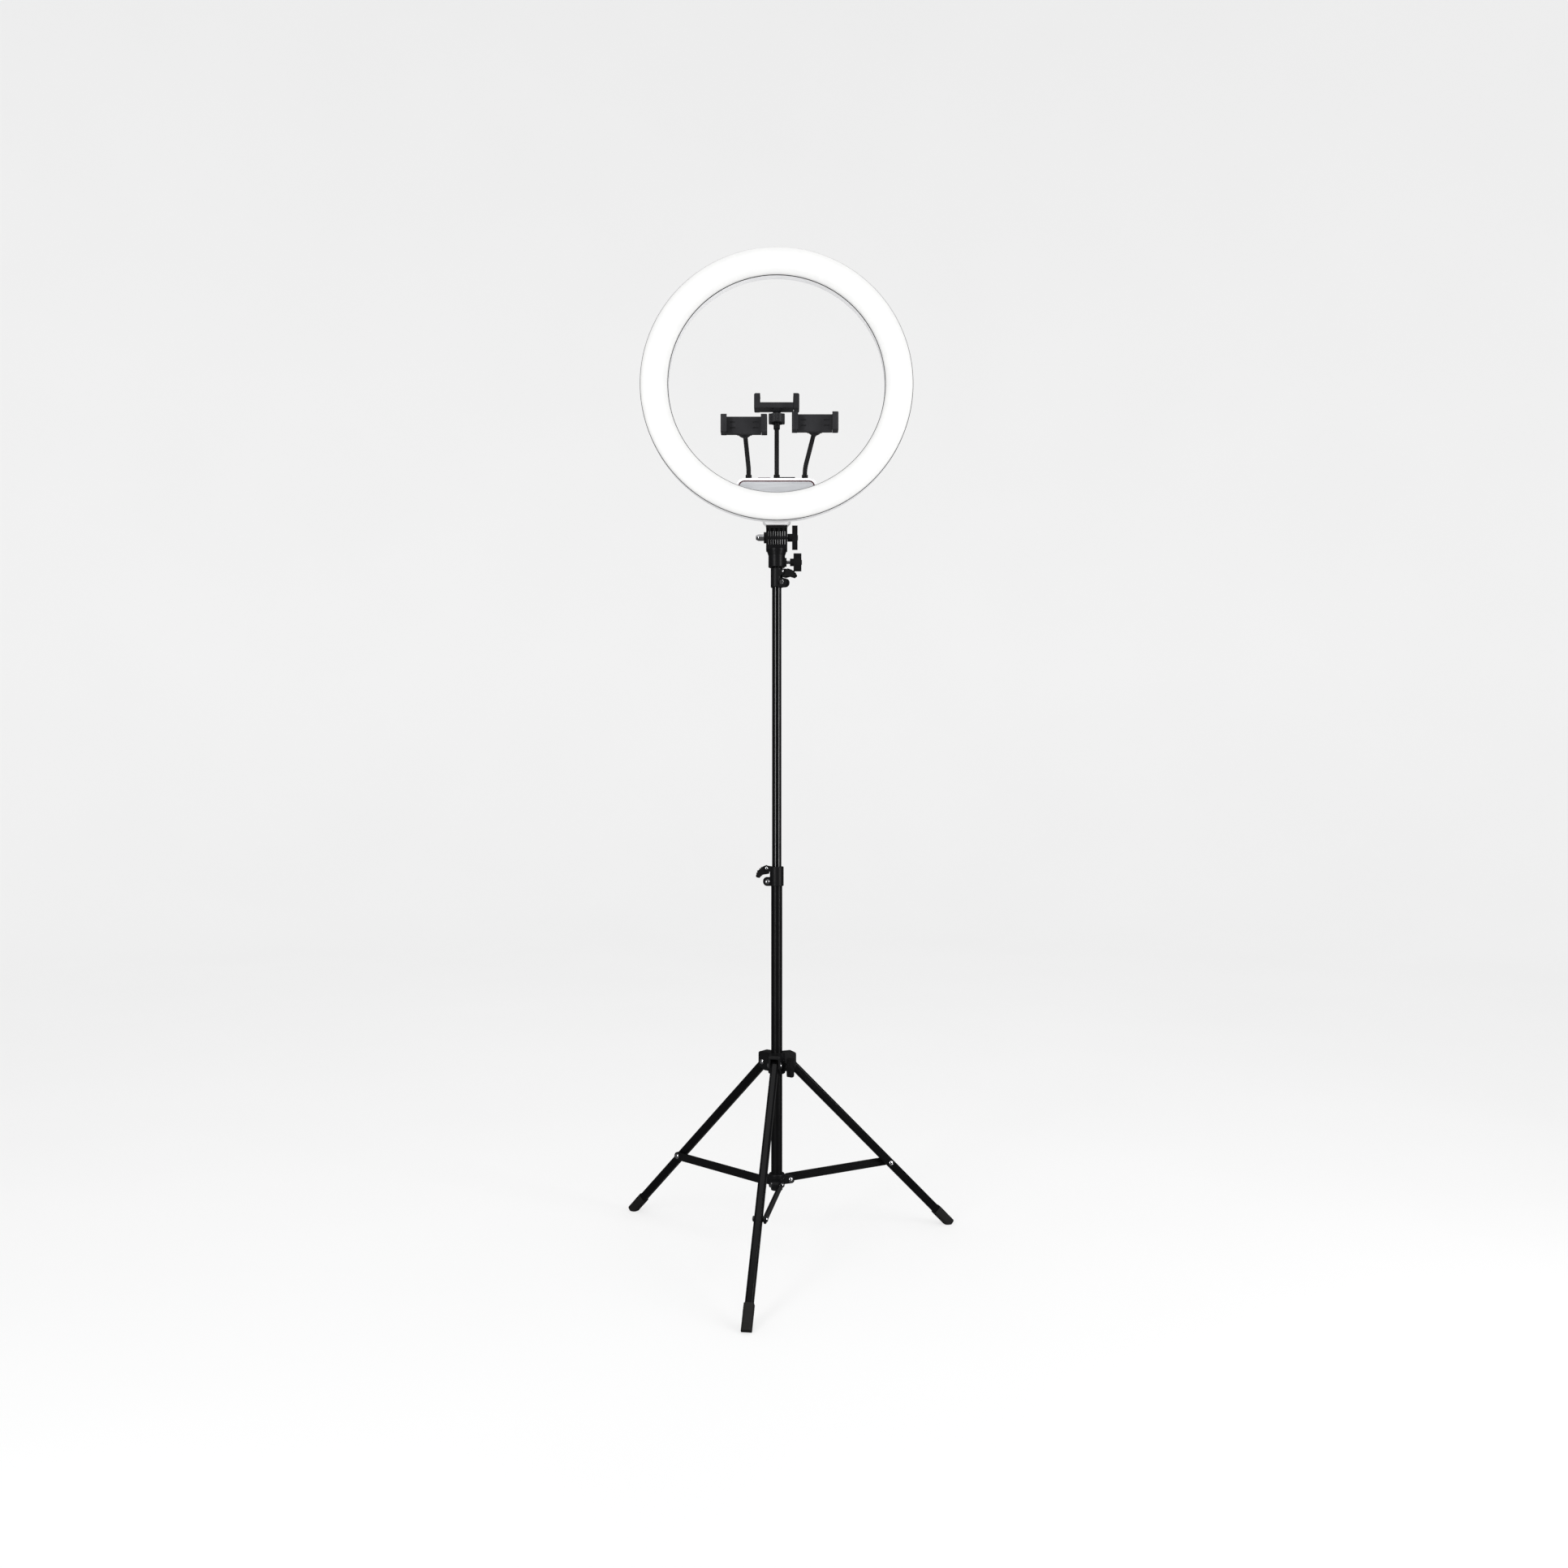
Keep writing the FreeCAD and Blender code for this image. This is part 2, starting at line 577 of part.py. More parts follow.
def box_parts():
    shell = slab(box_outline(0), "y", BOX_FRONT, BOX_BACK)
    cuts = [
        slab(box_outline(2.2), "y", BOX_FRONT + 4.4, BOX_BACK - 2.2),
        slab(box_outline(3.8), "y", BOX_FRONT - 1, BOX_FRONT + 1.8),
        bar(-7.9, 7.9, BOX_BACK - 4, BOX_BACK + 4, SWITCH_Z - 6.4, SWITCH_Z + 6.4, 1, "y"),
        rod(5.5, vec(INLET_X, BOX_BACK - 4, SWITCH_Z), Y, 8),
    ]
    for x in (-DIAL_X, DIAL_X):
        cuts.append(rod(3 + RUN_FIT, vec(x, BOX_BACK - 4, DIAL_Z), Y, 8))
    for x in (-NECK_PITCH, 0, NECK_PITCH):
        cuts.append(rod(5.2, vec(x, NECK_Y, BOX_TOP - 4), Z, 8))
    for x in PORT_XS:
        cuts.append(block(x - 6.8, x + 6.8, PORT_Y - 3.1, PORT_Y + 3.1, BOX_TOP - 4, BOX_TOP + 4))
    ports = []
    for x in PORT_XS:
        can = block(x - 6.8, x + 6.8, PORT_Y - 3.1, PORT_Y + 3.1, BOX_TOP - 12, BOX_TOP - 0.2)
        mouth = block(x - 6.3, x + 6.3, PORT_Y - 2.6, PORT_Y + 2.6, BOX_TOP - 10, BOX_TOP)
        tongue = block(x - 5.5, x + 5.5, PORT_Y - 0.4, PORT_Y + 1.6, BOX_TOP - 11, BOX_TOP - 1.5)
        ports.append(joined(can.cut(mouth), tongue))
    hinge_y, hinge_z = COVER_HINGE
    flap = bar(1.8, 31.2, -16.5, hinge_y, BOX_TOP + 0.2, BOX_TOP + 3.4, 1.5)
    flap = joined(flap, rod(1.6, vec(1.8, hinge_y, hinge_z), X, 29.4))
    board = block(-58, 58, 12, 13.6, BOX_BOTTOM + 6, BOX_TOP - 8)
    coils = [
        block(-50, -36, 2, 12, BOX_BOTTOM + 8, BOX_BOTTOM + 22),
        block(-28, -12, 4, 12, BOX_BOTTOM + 10, BOX_BOTTOM + 20),
        block(20, 44, 5, 12, BOX_TOP - 28, BOX_TOP - 16),
    ]
    rocker = slab(
        [(22, SWITCH_Z - 4.8, 0.5), (26.2, SWITCH_Z - 5.1, 0.6), (25.6, SWITCH_Z), (27.4, SWITCH_Z + 5.1, 0.6),
         (22, SWITCH_Z + 4.8, 0.5)],
        "x", -7.4, 7.4,
    )
    rocker = joined(rocker, rod(1.2, vec(-7.8, BOX_BACK - 2, SWITCH_Z), X, 15.6))
    inlet = turned(
        [(0, 18.5), (5.5, 18.5), (5.5, 25.1), (6.6, 25.1), (6.6, 26.4, 0.4), (3.2, 26.4), (3.2, 20), (1, 20),
         (1, 25.5, 0.5), (0, 25.5)],
        vec(INLET_X, 0, SWITCH_Z), Y,
    )
    return {
        "box_shell": shell.cut(group(cuts)),
        "box_panel": slab(box_outline(5.2), "y", BOX_FRONT + 0.3, BOX_FRONT + 1.8),
        "box_board": joined(board, *coils),
        "ir_window": bar(-32, -10, -15, -5, BOX_TOP, BOX_TOP + 3, 3),
        "usb_ports": group(ports),
        "usb_cover": flap,
        "display": bar(-22, 22, BOX_BACK, BOX_BACK + 1.2, 1282, 1302, 1.5, "y"),
        "brightness_dial": dial(-DIAL_X),
        "colour_dial": dial(DIAL_X),
        "power_switch": rocker,
        "dc_inlet": inlet,
    }


def dial(x):
    """A turning knob on the box's back, with a flat-nosed pointer ridge and a shaft through the wall."""
    knob = turned(
        [(0, 20), (3, 20), (3, BOX_BACK + 0.4), (9.5, BOX_BACK + 0.4), (9.0, BOX_BACK + 10, 1), (0, BOX_BACK + 10)],
        vec(x, 0, DIAL_Z), Y,
    )
    ridge = block(x - 0.7, x + 0.7, BOX_BACK + 9.5, BOX_BACK + 10.6, DIAL_Z + 1, DIAL_Z + 7.5)
    return joined(knob, ridge)


# ---------------------------------------------------------------- goosenecks and phone clamps
BALL_R = 6.0
BALL_OUT = 7.5             # the ball's centre, beyond the gooseneck's end
PLATE_OUT = 21.0
PLATE_THICK = 10.0
JAW_OUT = 46.0
CLAMP_HIGH = 14.5          # half the clamp's height
# where each gooseneck ends, and whether its clamp faces up or forward
NECK_ENDS = {
    "left": (vec(-54, -23, 1389), 90),
    "middle": (vec(0, NECK_Y, 1410), 0),
    "right": (vec(64, -23, 1393), 90),
}
NECK_STARTS = {"left": -NECK_PITCH, "middle": 0.0, "right": NECK_PITCH}


def at_neck_end(shape, side):
    """Moves a shape made round +Z from the gooseneck's end to that gooseneck."""
    end, turn = NECK_ENDS[side]
    copy = shape.copy()
    copy.rotate(vec(0, 0, 0), X, turn)
    copy.translate(end)
    return copy


def bent_path(points, radii):
    """Straight runs between points, with a tangent arc of the given radius at each inner point."""
    edges = []
    last = points[0]
    for here, after, radius in zip(points[1:-1], points[2:], radii):
        back = (last - here).normalize()
        ahead = (after - here).normalize()
        half = back.getAngle(ahead) / 2
        reach = radius / math.tan(half)
        inward = (back + ahead).normalize()
        middle = here + inward * (radius / math.sin(half) - radius)
        edges.append(Part.LineSegment(last, here + back * reach).toShape())
        edges.append(Part.Arc(here + back * reach, middle, here + ahead * reach).toShape())
        last = here + ahead * reach
    edges.append(Part.LineSegment(last, points[-1]).toShape())
    return Part.Wire(edges)


def gooseneck(side):
    end, turn = NECK_ENDS[side]
    start = vec(NECK_STARTS[side], NECK_Y, BOX_TOP - 4)
    if not turn:
        return rod(NECK_R, start, Z, end.z - 9 - start.z)
    points = [start, vec(start.x, NECK_Y, 1331), vec(end.x, NECK_Y, end.z), vec(end.x, end.y + 9, end.z)]
    path = bent_path(points, [80, 17])
    ring = Part.Wire(Part.makeCircle(NECK_R, start, Z))
    return path.makePipeShell([ring], True, False)


def neck_end_fitting():
    """The ferrule on a gooseneck's end, which opens into the cup that holds the clamp's ball."""
    body = turned(
        [(0, -12), (5.5, -12, 1), (5.5, -2), (9.4, 0.5), (9.4, 10.5, 0.5), (0, 10.5)], vec(0, 0, 0), Z
    )
    cup = Part.makeSphere(BALL_R + RUN_FIT, vec(0, 0, BALL_OUT))
    return body.cut(group([cup, rod(NECK_R, vec(0, 0, -13), Z, 4), rod(5.2, vec(0, 0, BALL_OUT), Z, 5)]))


def lock_ring():
    """The lobed nut round the cup; its lip holds the ball in."""
    body = rod(13.4, vec(0, 0, -1), Z, 14)
    for i in range(6):
        angle = math.radians(60 * i + 30)
        body = body.fuse(rod(3.0, vec(12.4 * math.cos(angle), 12.4 * math.sin(angle), -1), Z, 14))
    body = body.removeSplitter()
    return body.cut(group([rod(9.4 + RUN_FIT, vec(0, 0, -2), Z, 13), rod(7.5, vec(0, 0, 10), Z, 4)]))


def clamp():
    """Ball, stem and back plate with the fixed jaw, made round +Z from the gooseneck's end."""
    top = PLATE_OUT + PLATE_THICK
    ball = Part.makeSphere(BALL_R, vec(0, 0, BALL_OUT))
    stem = rod(3.2, vec(0, 0, BALL_OUT), Z, 11)
    cone = turned([(0, 17), (6.5, 17), (11, 20.5), (11, 22), (0, 22)], vec(0, 0, 0), Z)
    plate = bar(-CLAMP_HALF, 28.5, -CLAMP_HIGH, CLAMP_HIGH, PLATE_OUT, top, 2, "x")
    jaw = slab(
        [(-CLAMP_HALF, PLATE_OUT, 2), (-29.5, PLATE_OUT), (-29.5, JAW_OUT - 2.6), (-28.2, JAW_OUT - 1.6),
         (-28.2, JAW_OUT), (-CLAMP_HALF, JAW_OUT, 3)],
        "y", -CLAMP_HIGH, CLAMP_HIGH,
    )
    body = joined(ball, stem, cone, plate, jaw)
    cuts = [block(-24, 29, -9.3, 9.3, 24.2, 28.4)]
    for x in (-19.4, 19.4):
        for y in (-4.7, 4.7):
            cuts.append(bar(x - 4.7, x + 4.7, y - 1.1, y + 1.1, top - 1.2, top + 1, 1.0))
    return body.cut(group(cuts))


def sliding_jaw():
    body = slab(
        [(29, PLATE_OUT), (CLAMP_HALF, PLATE_OUT, 2), (CLAMP_HALF, JAW_OUT, 3), (28.2, JAW_OUT),
         (28.2, JAW_OUT - 1.6), (29, JAW_OUT - 2.6)],
        "y", -CLAMP_HIGH, CLAMP_HIGH,
    )
    return joined(body, block(-20, 30, -9.0, 9.0, 24.5, 28.1))


def neck_parts():
    necks, ferrules = [], []
    parts = {}
    fitting = neck_end_fitting()
    for side in NECK_ENDS:
        necks.append(gooseneck(side))
        ferrules.append(pipe(5.2, NECK_R, vec(NECK_STARTS[side], NECK_Y, BOX_TOP - 4), Z, 16))
        ferrules.append(at_neck_end(fitting, side))
        parts["lock_ring_" + side] = at_neck_end(lock_ring(), side)
        parts["clamp_" + side] = at_neck_end(clamp(), side)
        parts["jaw_" + side] = at_neck_end(sliding_jaw(), side)
    parts["goosenecks"] = group(necks)
    parts["gooseneck_ferrules"] = group(ferrules)
    return parts


# ---------------------------------------------------------------- whole object
def main():
    parts = {}
    for made in (column_parts, collar_parts, tripod_parts, receiver_parts, ring_parts, box_parts, neck_parts):
        parts.update(made())
    footprint = group([parts["foot_" + side] for side in LEG_AZIMUTHS]).BoundBox
    home = vec(-footprint.Center.x, -footprint.Center.y, 0)
    print("column axis at", round(home.x, 4), round(home.y, 4))
    os.makedirs("parts", exist_ok=True)
    for name, shape in parts.items():
        shape.translate(home)
        if not shape.isValid():
            print("not valid:", name)
        shape.exportStep("parts/" + name + ".step")
    print(len(parts), "parts")


main()
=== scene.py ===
import json
import math

import bmesh
import bpy
from mathutils import Matrix, Vector


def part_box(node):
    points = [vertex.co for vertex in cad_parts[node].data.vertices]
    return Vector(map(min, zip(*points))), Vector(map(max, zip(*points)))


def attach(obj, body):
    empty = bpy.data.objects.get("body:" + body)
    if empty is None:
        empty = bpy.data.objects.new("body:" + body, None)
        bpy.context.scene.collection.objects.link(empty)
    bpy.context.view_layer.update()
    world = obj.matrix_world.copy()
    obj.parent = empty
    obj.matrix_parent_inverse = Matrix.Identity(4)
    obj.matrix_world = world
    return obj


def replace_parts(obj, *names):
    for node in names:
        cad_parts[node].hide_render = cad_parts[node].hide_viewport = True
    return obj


# Looks for the ring light on its folding stand. Metres, in the CAD model's frame: +Z up, lit face to -Y.

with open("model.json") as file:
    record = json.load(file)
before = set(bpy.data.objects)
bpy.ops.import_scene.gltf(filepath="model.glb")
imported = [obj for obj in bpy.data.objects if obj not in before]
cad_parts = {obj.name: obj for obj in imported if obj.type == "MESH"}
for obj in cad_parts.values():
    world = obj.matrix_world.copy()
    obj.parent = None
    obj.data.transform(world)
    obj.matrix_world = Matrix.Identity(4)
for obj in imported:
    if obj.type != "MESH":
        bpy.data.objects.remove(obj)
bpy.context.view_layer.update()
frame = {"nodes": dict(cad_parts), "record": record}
NODES = frame["nodes"]


def middle(node):
    low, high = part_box(node)
    return (low + high) / 2


AXIS = Vector((middle("base_tube").x, middle("base_tube").y, 0))
RING = middle("rear_housing")
RING_BAND = 0.047          # width of the lit band


# ---------------------------------------------------------------- camera first
CAMERA_BACK = 2.2          # from the column's axis
CAMERA_SIDE = 0.0124
CAMERA_HEIGHT = 0.7925
LENS = 29.65


def make_camera():
    data = bpy.data.cameras.new("camera")
    data.lens = LENS
    data.sensor_width = 36
    data.clip_start, data.clip_end = 0.05, 200
    camera = bpy.data.objects.new("camera", data)
    camera.location = AXIS + Vector((CAMERA_SIDE, -CAMERA_BACK, CAMERA_HEIGHT))
    camera.rotation_euler = (math.radians(90), 0, 0)
    bpy.context.scene.collection.objects.link(camera)
    bpy.context.scene.camera = camera


make_camera()


# ---------------------------------------------------------------- materials
GRAIN_DEPTH = 0.0001


def new_material(name):
    """A material with a Principled shader and a reader of positions in the object's own space."""
    mat = bpy.data.materials.new(name)
    mat.use_nodes = True
    tree = mat.node_tree
    shader = tree.nodes["Principled BSDF"]
    place = tree.nodes.new("ShaderNodeTexCoord")
    return mat, tree, shader, place.outputs["Object"]


def noise(tree, vector, scale, detail=3.0, rough=0.5):
    node = tree.nodes.new("ShaderNodeTexNoise")
    node.inputs["Scale"].default_value = scale
    node.inputs["Detail"].default_value = detail
    node.inputs["Roughness"].default_value = rough
    tree.links.new(vector, node.inputs["Vector"])
    return node.outputs["Fac"]


def spread(tree, value, low, high, start=0.3, end=0.7):
    """Maps a 0 to 1 pattern onto low to high."""
    node = tree.nodes.new("ShaderNodeMapRange")
    node.inputs["From Min"].default_value = start
    node.inputs["From Max"].default_value = end
    node.inputs["To Min"].default_value = low
    node.inputs["To Max"].default_value = high
    tree.links.new(value, node.inputs["Value"])
    return node.outputs["Result"]


def blend_colours(tree, factor, first, second):
    node = tree.nodes.new("ShaderNodeMix")
    node.data_type = "RGBA"
    node.inputs["A"].default_value = (*first, 1)
    node.inputs["B"].default_value = (*second, 1)
    tree.links.new(factor, node.inputs["Factor"])
    return node.outputs["Result"]


def bump(tree, shader, height, strength, distance):
    node = tree.nodes.new("ShaderNodeBump")
    node.inputs["Strength"].default_value = strength
    node.inputs["Distance"].default_value = distance
    tree.links.new(height, node.inputs["Height"])
    tree.links.new(node.outputs["Normal"], shader.inputs["Normal"])


def surface(name, dark, light, rough, metallic=0.0, grain=900.0, grain_strength=0.15, specular=0.15):
    """A moulded, painted or metal surface: cloudy colour, uneven gloss and a fine grain."""
    mat, tree, shader, place = new_material(name)
    cloud = noise(tree, place, 22, 4, 0.55)
    colour = blend_colours(tree, spread(tree, cloud, 0, 1), dark, light)
    tree.links.new(colour, shader.inputs["Base Color"])
    smear = noise(tree, place, 75, 3, 0.6)
    tree.links.new(spread(tree, smear, rough * 0.93, rough * 1.07), shader.inputs["Roughness"])
    shader.inputs["Metallic"].default_value = metallic
    shader.inputs["Specular IOR Level"].default_value = specular
    bump(tree, shader, noise(tree, place, grain, 2), grain_strength, GRAIN_DEPTH)
    return mat


def milky_glow():
    """The diffuser: its glow is full along the middle of its width and falls towards both edges, a painted shade
    that rounds its crown.
    """
    mat, tree, shader, place = new_material("milky_glow")
    shift = tree.nodes.new("ShaderNodeVectorMath")
    shift.operation = "SUBTRACT"
    shift.inputs[1].default_value = RING
    tree.links.new(place, shift.inputs[0])
    flat = tree.nodes.new("ShaderNodeVectorMath")
    flat.operation = "MULTIPLY"
    flat.inputs[1].default_value = (1, 0, 1)
    tree.links.new(shift.outputs["Vector"], flat.inputs[0])
    length = tree.nodes.new("ShaderNodeVectorMath")
    length.operation = "LENGTH"
    tree.links.new(flat.outputs["Vector"], length.inputs[0])
    low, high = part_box("diffuser")
    outer = (high.x - low.x) / 2
    inner = outer - RING_BAND
    across = spread(tree, length.outputs["Value"], 0, 1, inner, outer)
    # Painted shade: the glow falls to 0.6 at both edges of the band, shading the crown.
    ramp = tree.nodes.new("ShaderNodeValToRGB")
    glow_and_edge_shade = ((0.0, 0.60), (0.07, 0.76), (0.22, 0.93), (0.5, 1.0), (0.78, 0.93), (0.93, 0.76), (1.0, 0.60))
    ramp.color_ramp.elements[0].position = 0
    ramp.color_ramp.elements[1].position = 1
    for position, _ in glow_and_edge_shade[1:-1]:
        ramp.color_ramp.elements.new(position)
    for element, (_, level) in zip(ramp.color_ramp.elements, glow_and_edge_shade):
        element.color = (level, level, level * 0.995, 1)
    tree.links.new(across, ramp.inputs["Fac"])
    tree.links.new(ramp.outputs["Color"], shader.inputs["Emission Color"])
    cloud = spread(tree, noise(tree, place, 60, 2), 0, 1)
    milk = blend_colours(tree, cloud, (0.34, 0.34, 0.34), (0.36, 0.36, 0.355))
    tree.links.new(milk, shader.inputs["Base Color"])
    shader.inputs["Emission Strength"].default_value = 0.47
    shader.inputs["Roughness"].default_value = 0.45
    shader.inputs["Specular IOR Level"].default_value = 0.3
    bump(tree, shader, noise(tree, place, 500, 2), 0.04, GRAIN_DEPTH)
    return mat


def brushed(name, dark, light, rough, stretch, scale=900.0, metallic=1.0):
    """Metal with fine brush lines; stretch squeezes the pattern along the brushing direction."""
    mat, tree, shader, place = new_material(name)
    squeeze = tree.nodes.new("ShaderNodeVectorMath")
    squeeze.operation = "MULTIPLY"
    squeeze.inputs[1].default_value = stretch
    tree.links.new(place, squeeze.inputs[0])
    lines = noise(tree, squeeze.outputs["Vector"], scale, 3, 0.6)
    tree.links.new(blend_colours(tree, spread(tree, lines, 0, 1), dark, light), shader.inputs["Base Color"])
    tree.links.new(spread(tree, lines, rough * 0.8, rough * 1.25), shader.inputs["Roughness"])
    shader.inputs["Metallic"].default_value = metallic
    bump(tree, shader, lines, 0.12, 0.00005)
    return mat


MATERIALS = {
    "column_black": surface("column_black", (0.0016, 0.0016, 0.0018), (0.0026, 0.0026, 0.0029), 0.13, grain=500,
                            grain_strength=0.004, specular=0.5),
    "leg_black": surface("leg_black", (0.0020, 0.0020, 0.0023), (0.0032, 0.0032, 0.0035), 0.2, grain=1200,
                         grain_strength=0.05),
    "strip_black": surface("strip_black", (0.0028, 0.0028, 0.0031), (0.0045, 0.0045, 0.0048), 0.32, grain=1200,
                           grain_strength=0.06),
    "moulded_black": surface("moulded_black", (0.0036, 0.0036, 0.004), (0.0056, 0.0056, 0.0062), 0.4, grain=1700),
    "head_black": surface("head_black", (0.0030, 0.0030, 0.0034), (0.005, 0.005, 0.0056), 0.36, grain=1500),
    "knob_black": surface("knob_black", (0.0034, 0.0034, 0.0037), (0.0055, 0.0055, 0.0058), 0.42, grain=2000,
                          grain_strength=0.25),
    "clamp_black": surface("clamp_black", (0.015, 0.015, 0.0165), (0.023, 0.023, 0.025), 0.4, grain=1900,
                           grain_strength=0.2),
    "foot_rubber": surface("foot_rubber", (0.006, 0.006, 0.006), (0.011, 0.0105, 0.010), 0.7, grain=1300,
                           grain_strength=0.4, specular=0.2),
    "soft_rubber": surface("soft_rubber", (0.007, 0.007, 0.0075), (0.012, 0.012, 0.0125), 0.65, grain=1500,
                           grain_strength=0.3, specular=0.2),
    "bright_steel": surface("bright_steel", (0.62, 0.62, 0.64), (0.80, 0.80, 0.82), 0.14, metallic=1.0,
                            grain=900, grain_strength=0.05, specular=0.5),
    "spigot_steel": brushed("spigot_steel", (0.5, 0.5, 0.52), (0.68, 0.68, 0.7), 0.28, (0.1, 0.1, 1)),
    "white_shell": surface("white_shell", (0.76, 0.76, 0.77), (0.80, 0.80, 0.81), 0.36, grain=1600,
                           grain_strength=0.08, specular=0.45),
    "silver_panel": brushed("silver_panel", (0.50, 0.51, 0.53), (0.58, 0.59, 0.61), 0.42, (0.03, 1, 1),
                            metallic=0.35),
    "board_white": surface("board_white", (0.80, 0.80, 0.78), (0.88, 0.88, 0.86), 0.4),
    "board_green": surface("board_green", (0.015, 0.11, 0.045), (0.03, 0.17, 0.07), 0.35),
    "led_phosphor": surface("led_phosphor", (0.85, 0.72, 0.22), (0.95, 0.85, 0.38), 0.3),
    "smoked_window": surface("smoked_window", (0.030, 0.012, 0.026), (0.050, 0.022, 0.044), 0.14, specular=0.5),
    "screen": surface("screen", (0.005, 0.008, 0.009), (0.009, 0.012, 0.014), 0.08, grain_strength=0.0,
                      specular=0.5),
    "neck_black": surface("neck_black", (0.0045, 0.0045, 0.005), (0.008, 0.008, 0.0085), 0.5, grain=1500,
                          specular=0.22),
    "socket_metal": brushed("socket_metal", (0.5, 0.5, 0.5), (0.68, 0.68, 0.68), 0.3, (1, 1, 0.1)),
    "milky_cover": milky_glow(),
}


def dress_cad_nodes():
    for entry in frame["record"]["subparts"]:
        obj = NODES[entry["node"]]
        obj.data.materials.clear()
        obj.data.materials.append(MATERIALS[entry["material_slot"]])
    satin = surface("base_tube_black", (0.0016, 0.0016, 0.0018), (0.0026, 0.0026, 0.0029), 0.34, grain=500,
                    grain_strength=0.01, specular=0.15)
    NODES["base_tube"].data.materials[0] = satin


dress_cad_nodes()


# ---------------------------------------------------------------- mesh helpers, in millimetres
MM = 0.001
UP = Vector((0, 0, 1))


def at(x, y, z):
    """A point in millimetres from the column's axis at the floor."""
    return AXIS + Vector((x, y, z)) * MM


def placed(point, along, up=UP):
    """Takes local millimetres to the frame: local Z points along, local Y as near to up as it can."""
    forward = Vector(along).normalized()
    side = Vector(up).cross(forward).normalized()
    turn = Matrix((side, forward.cross(side), forward)).transposed().to_4x4()
    return Matrix.Translation(point) @ turn @ Matrix.Scale(MM, 4)


def outward(azimuth, radius=0.0, height=0.0):
    """A place on the column's side whose local Z points outward; azimuth runs from -Y towards +X."""
    angle = math.radians(azimuth)
    out = Vector((math.sin(angle), -math.cos(angle), 0))
    return placed(at(out.x * radius, out.y * radius, height), out)


def sideways(azimuth, radius, height, offset, sign):
    """A place beside a leg's upright plane, offset to the side, whose local Z points away from the plane."""
    angle = math.radians(azimuth)
    out = Vector((math.sin(angle), -math.cos(angle), 0))
    side = Vector((math.cos(angle), math.sin(angle), 0))
    return placed(at(*(out * radius + side * offset + UP * height)), side * sign)


def lathe(bm, profile, place, segments=40, ripple=None, closed=False):
    """Turns (radius, height) points round the place's Z axis; ripple gives a radius factor for an angle."""
    rings = []
    for radius, height in profile:
        ring = []
        for i in range(segments):
            angle = math.tau * i / segments
            reach = radius * (ripple(angle) if ripple else 1)
            point = Vector((reach * math.cos(angle), reach * math.sin(angle), height))
            ring.append(bm.verts.new(place @ point))
        rings.append(ring)
    pairs = list(zip(rings, rings[1:] + rings[:1])) if closed else list(zip(rings, rings[1:]))
    for low, high in pairs:
        for i in range(segments):
            j = (i + 1) % segments
            bm.faces.new((low[i], low[j], high[j], high[i]))
    if not closed:
        bm.faces.new(rings[0])
        bm.faces.new(rings[-1])


def prism(bm, outline, low, high, place):
    """An outline of (x, y) points carried from low to high along the place's Z axis."""
    bottom = [bm.verts.new(place @ Vector((x, y, low))) for x, y in outline]
    top = [bm.verts.new(place @ Vector((x, y, high))) for x, y in outline]
    for i in range(len(outline)):
        j = (i + 1) % len(outline)
        bm.faces.new((bottom[i], bottom[j], top[j], top[i]))
    bm.faces.new(bottom)
    bm.faces.new(top)


def rounded(half_x, half_y, radius, steps=6, centre=(0, 0)):
    """The outline of a rectangle with round corners."""
    points = []
    for corner, (sign_x, sign_y) in enumerate(((1, 1), (-1, 1), (-1, -1), (1, -1))):
        for step in range(steps + 1):
            angle = math.radians(90 * corner + 90 * step / steps)
            points.append((centre[0] + sign_x * (half_x - radius) + radius * math.cos(angle),
                           centre[1] + sign_y * (half_y - radius) + radius * math.sin(angle)))
    return points


def frame_of(bm, outer, inner, low, high, place):
    """A flat frame between two outlines that have the same number of points."""
    loops = []
    for outline, height in ((outer, low), (outer, high), (inner, high), (inner, low)):
        loops.append([bm.verts.new(place @ Vector((x, y, height))) for x, y in outline])
    count = len(outer)
    for first, second in zip(loops, loops[1:] + loops[:1]):
        for i in range(count):
            j = (i + 1) % count
            bm.faces.new((first[i], first[j], second[j], second[i]))


def piece(name, bm, material, body, soften=0.0, sharp=35):
    """Turns a bmesh into a piece of the object that moves with a CAD body."""
    bmesh.ops.recalc_face_normals(bm, faces=bm.faces)
    mesh = bpy.data.meshes.new(name)
    bm.to_mesh(mesh)
    bm.free()
    mesh.materials.append(MATERIALS[material])
    mesh.polygons.foreach_set("use_smooth", [True] * len(mesh.polygons))
    mesh.set_sharp_from_angle(angle=math.radians(sharp))
    obj = bpy.data.objects.new(name, mesh)
    bpy.context.scene.collection.objects.link(obj)
    if soften:
        edge = obj.modifiers.new("edges", "BEVEL")
        edge.width = soften * MM
        edge.segments = 2
        edge.limit_method = "ANGLE"
        edge.harden_normals = True
    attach(obj, body)
    return obj


# ---------------------------------------------------------------- ring
RING_PLACE = placed(RING, (0, 1, 0))       # local Z runs backward, so the lit face is at low local Z
RING_FRONT = (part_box("diffuser")[0].y - RING.y) / MM
RING_SEAM = (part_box("diffuser")[1].y - RING.y) / MM
RING_BACK = (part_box("rear_housing")[1].y - RING.y) / MM
RING_R = (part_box("rear_housing")[1].x - RING.x) / MM
HOLE_R = RING_R - RING_BAND / MM
EDGE_SHADE_RING = 0.8                               # painted shade: width of the dark rings beside the cover, inside and outside
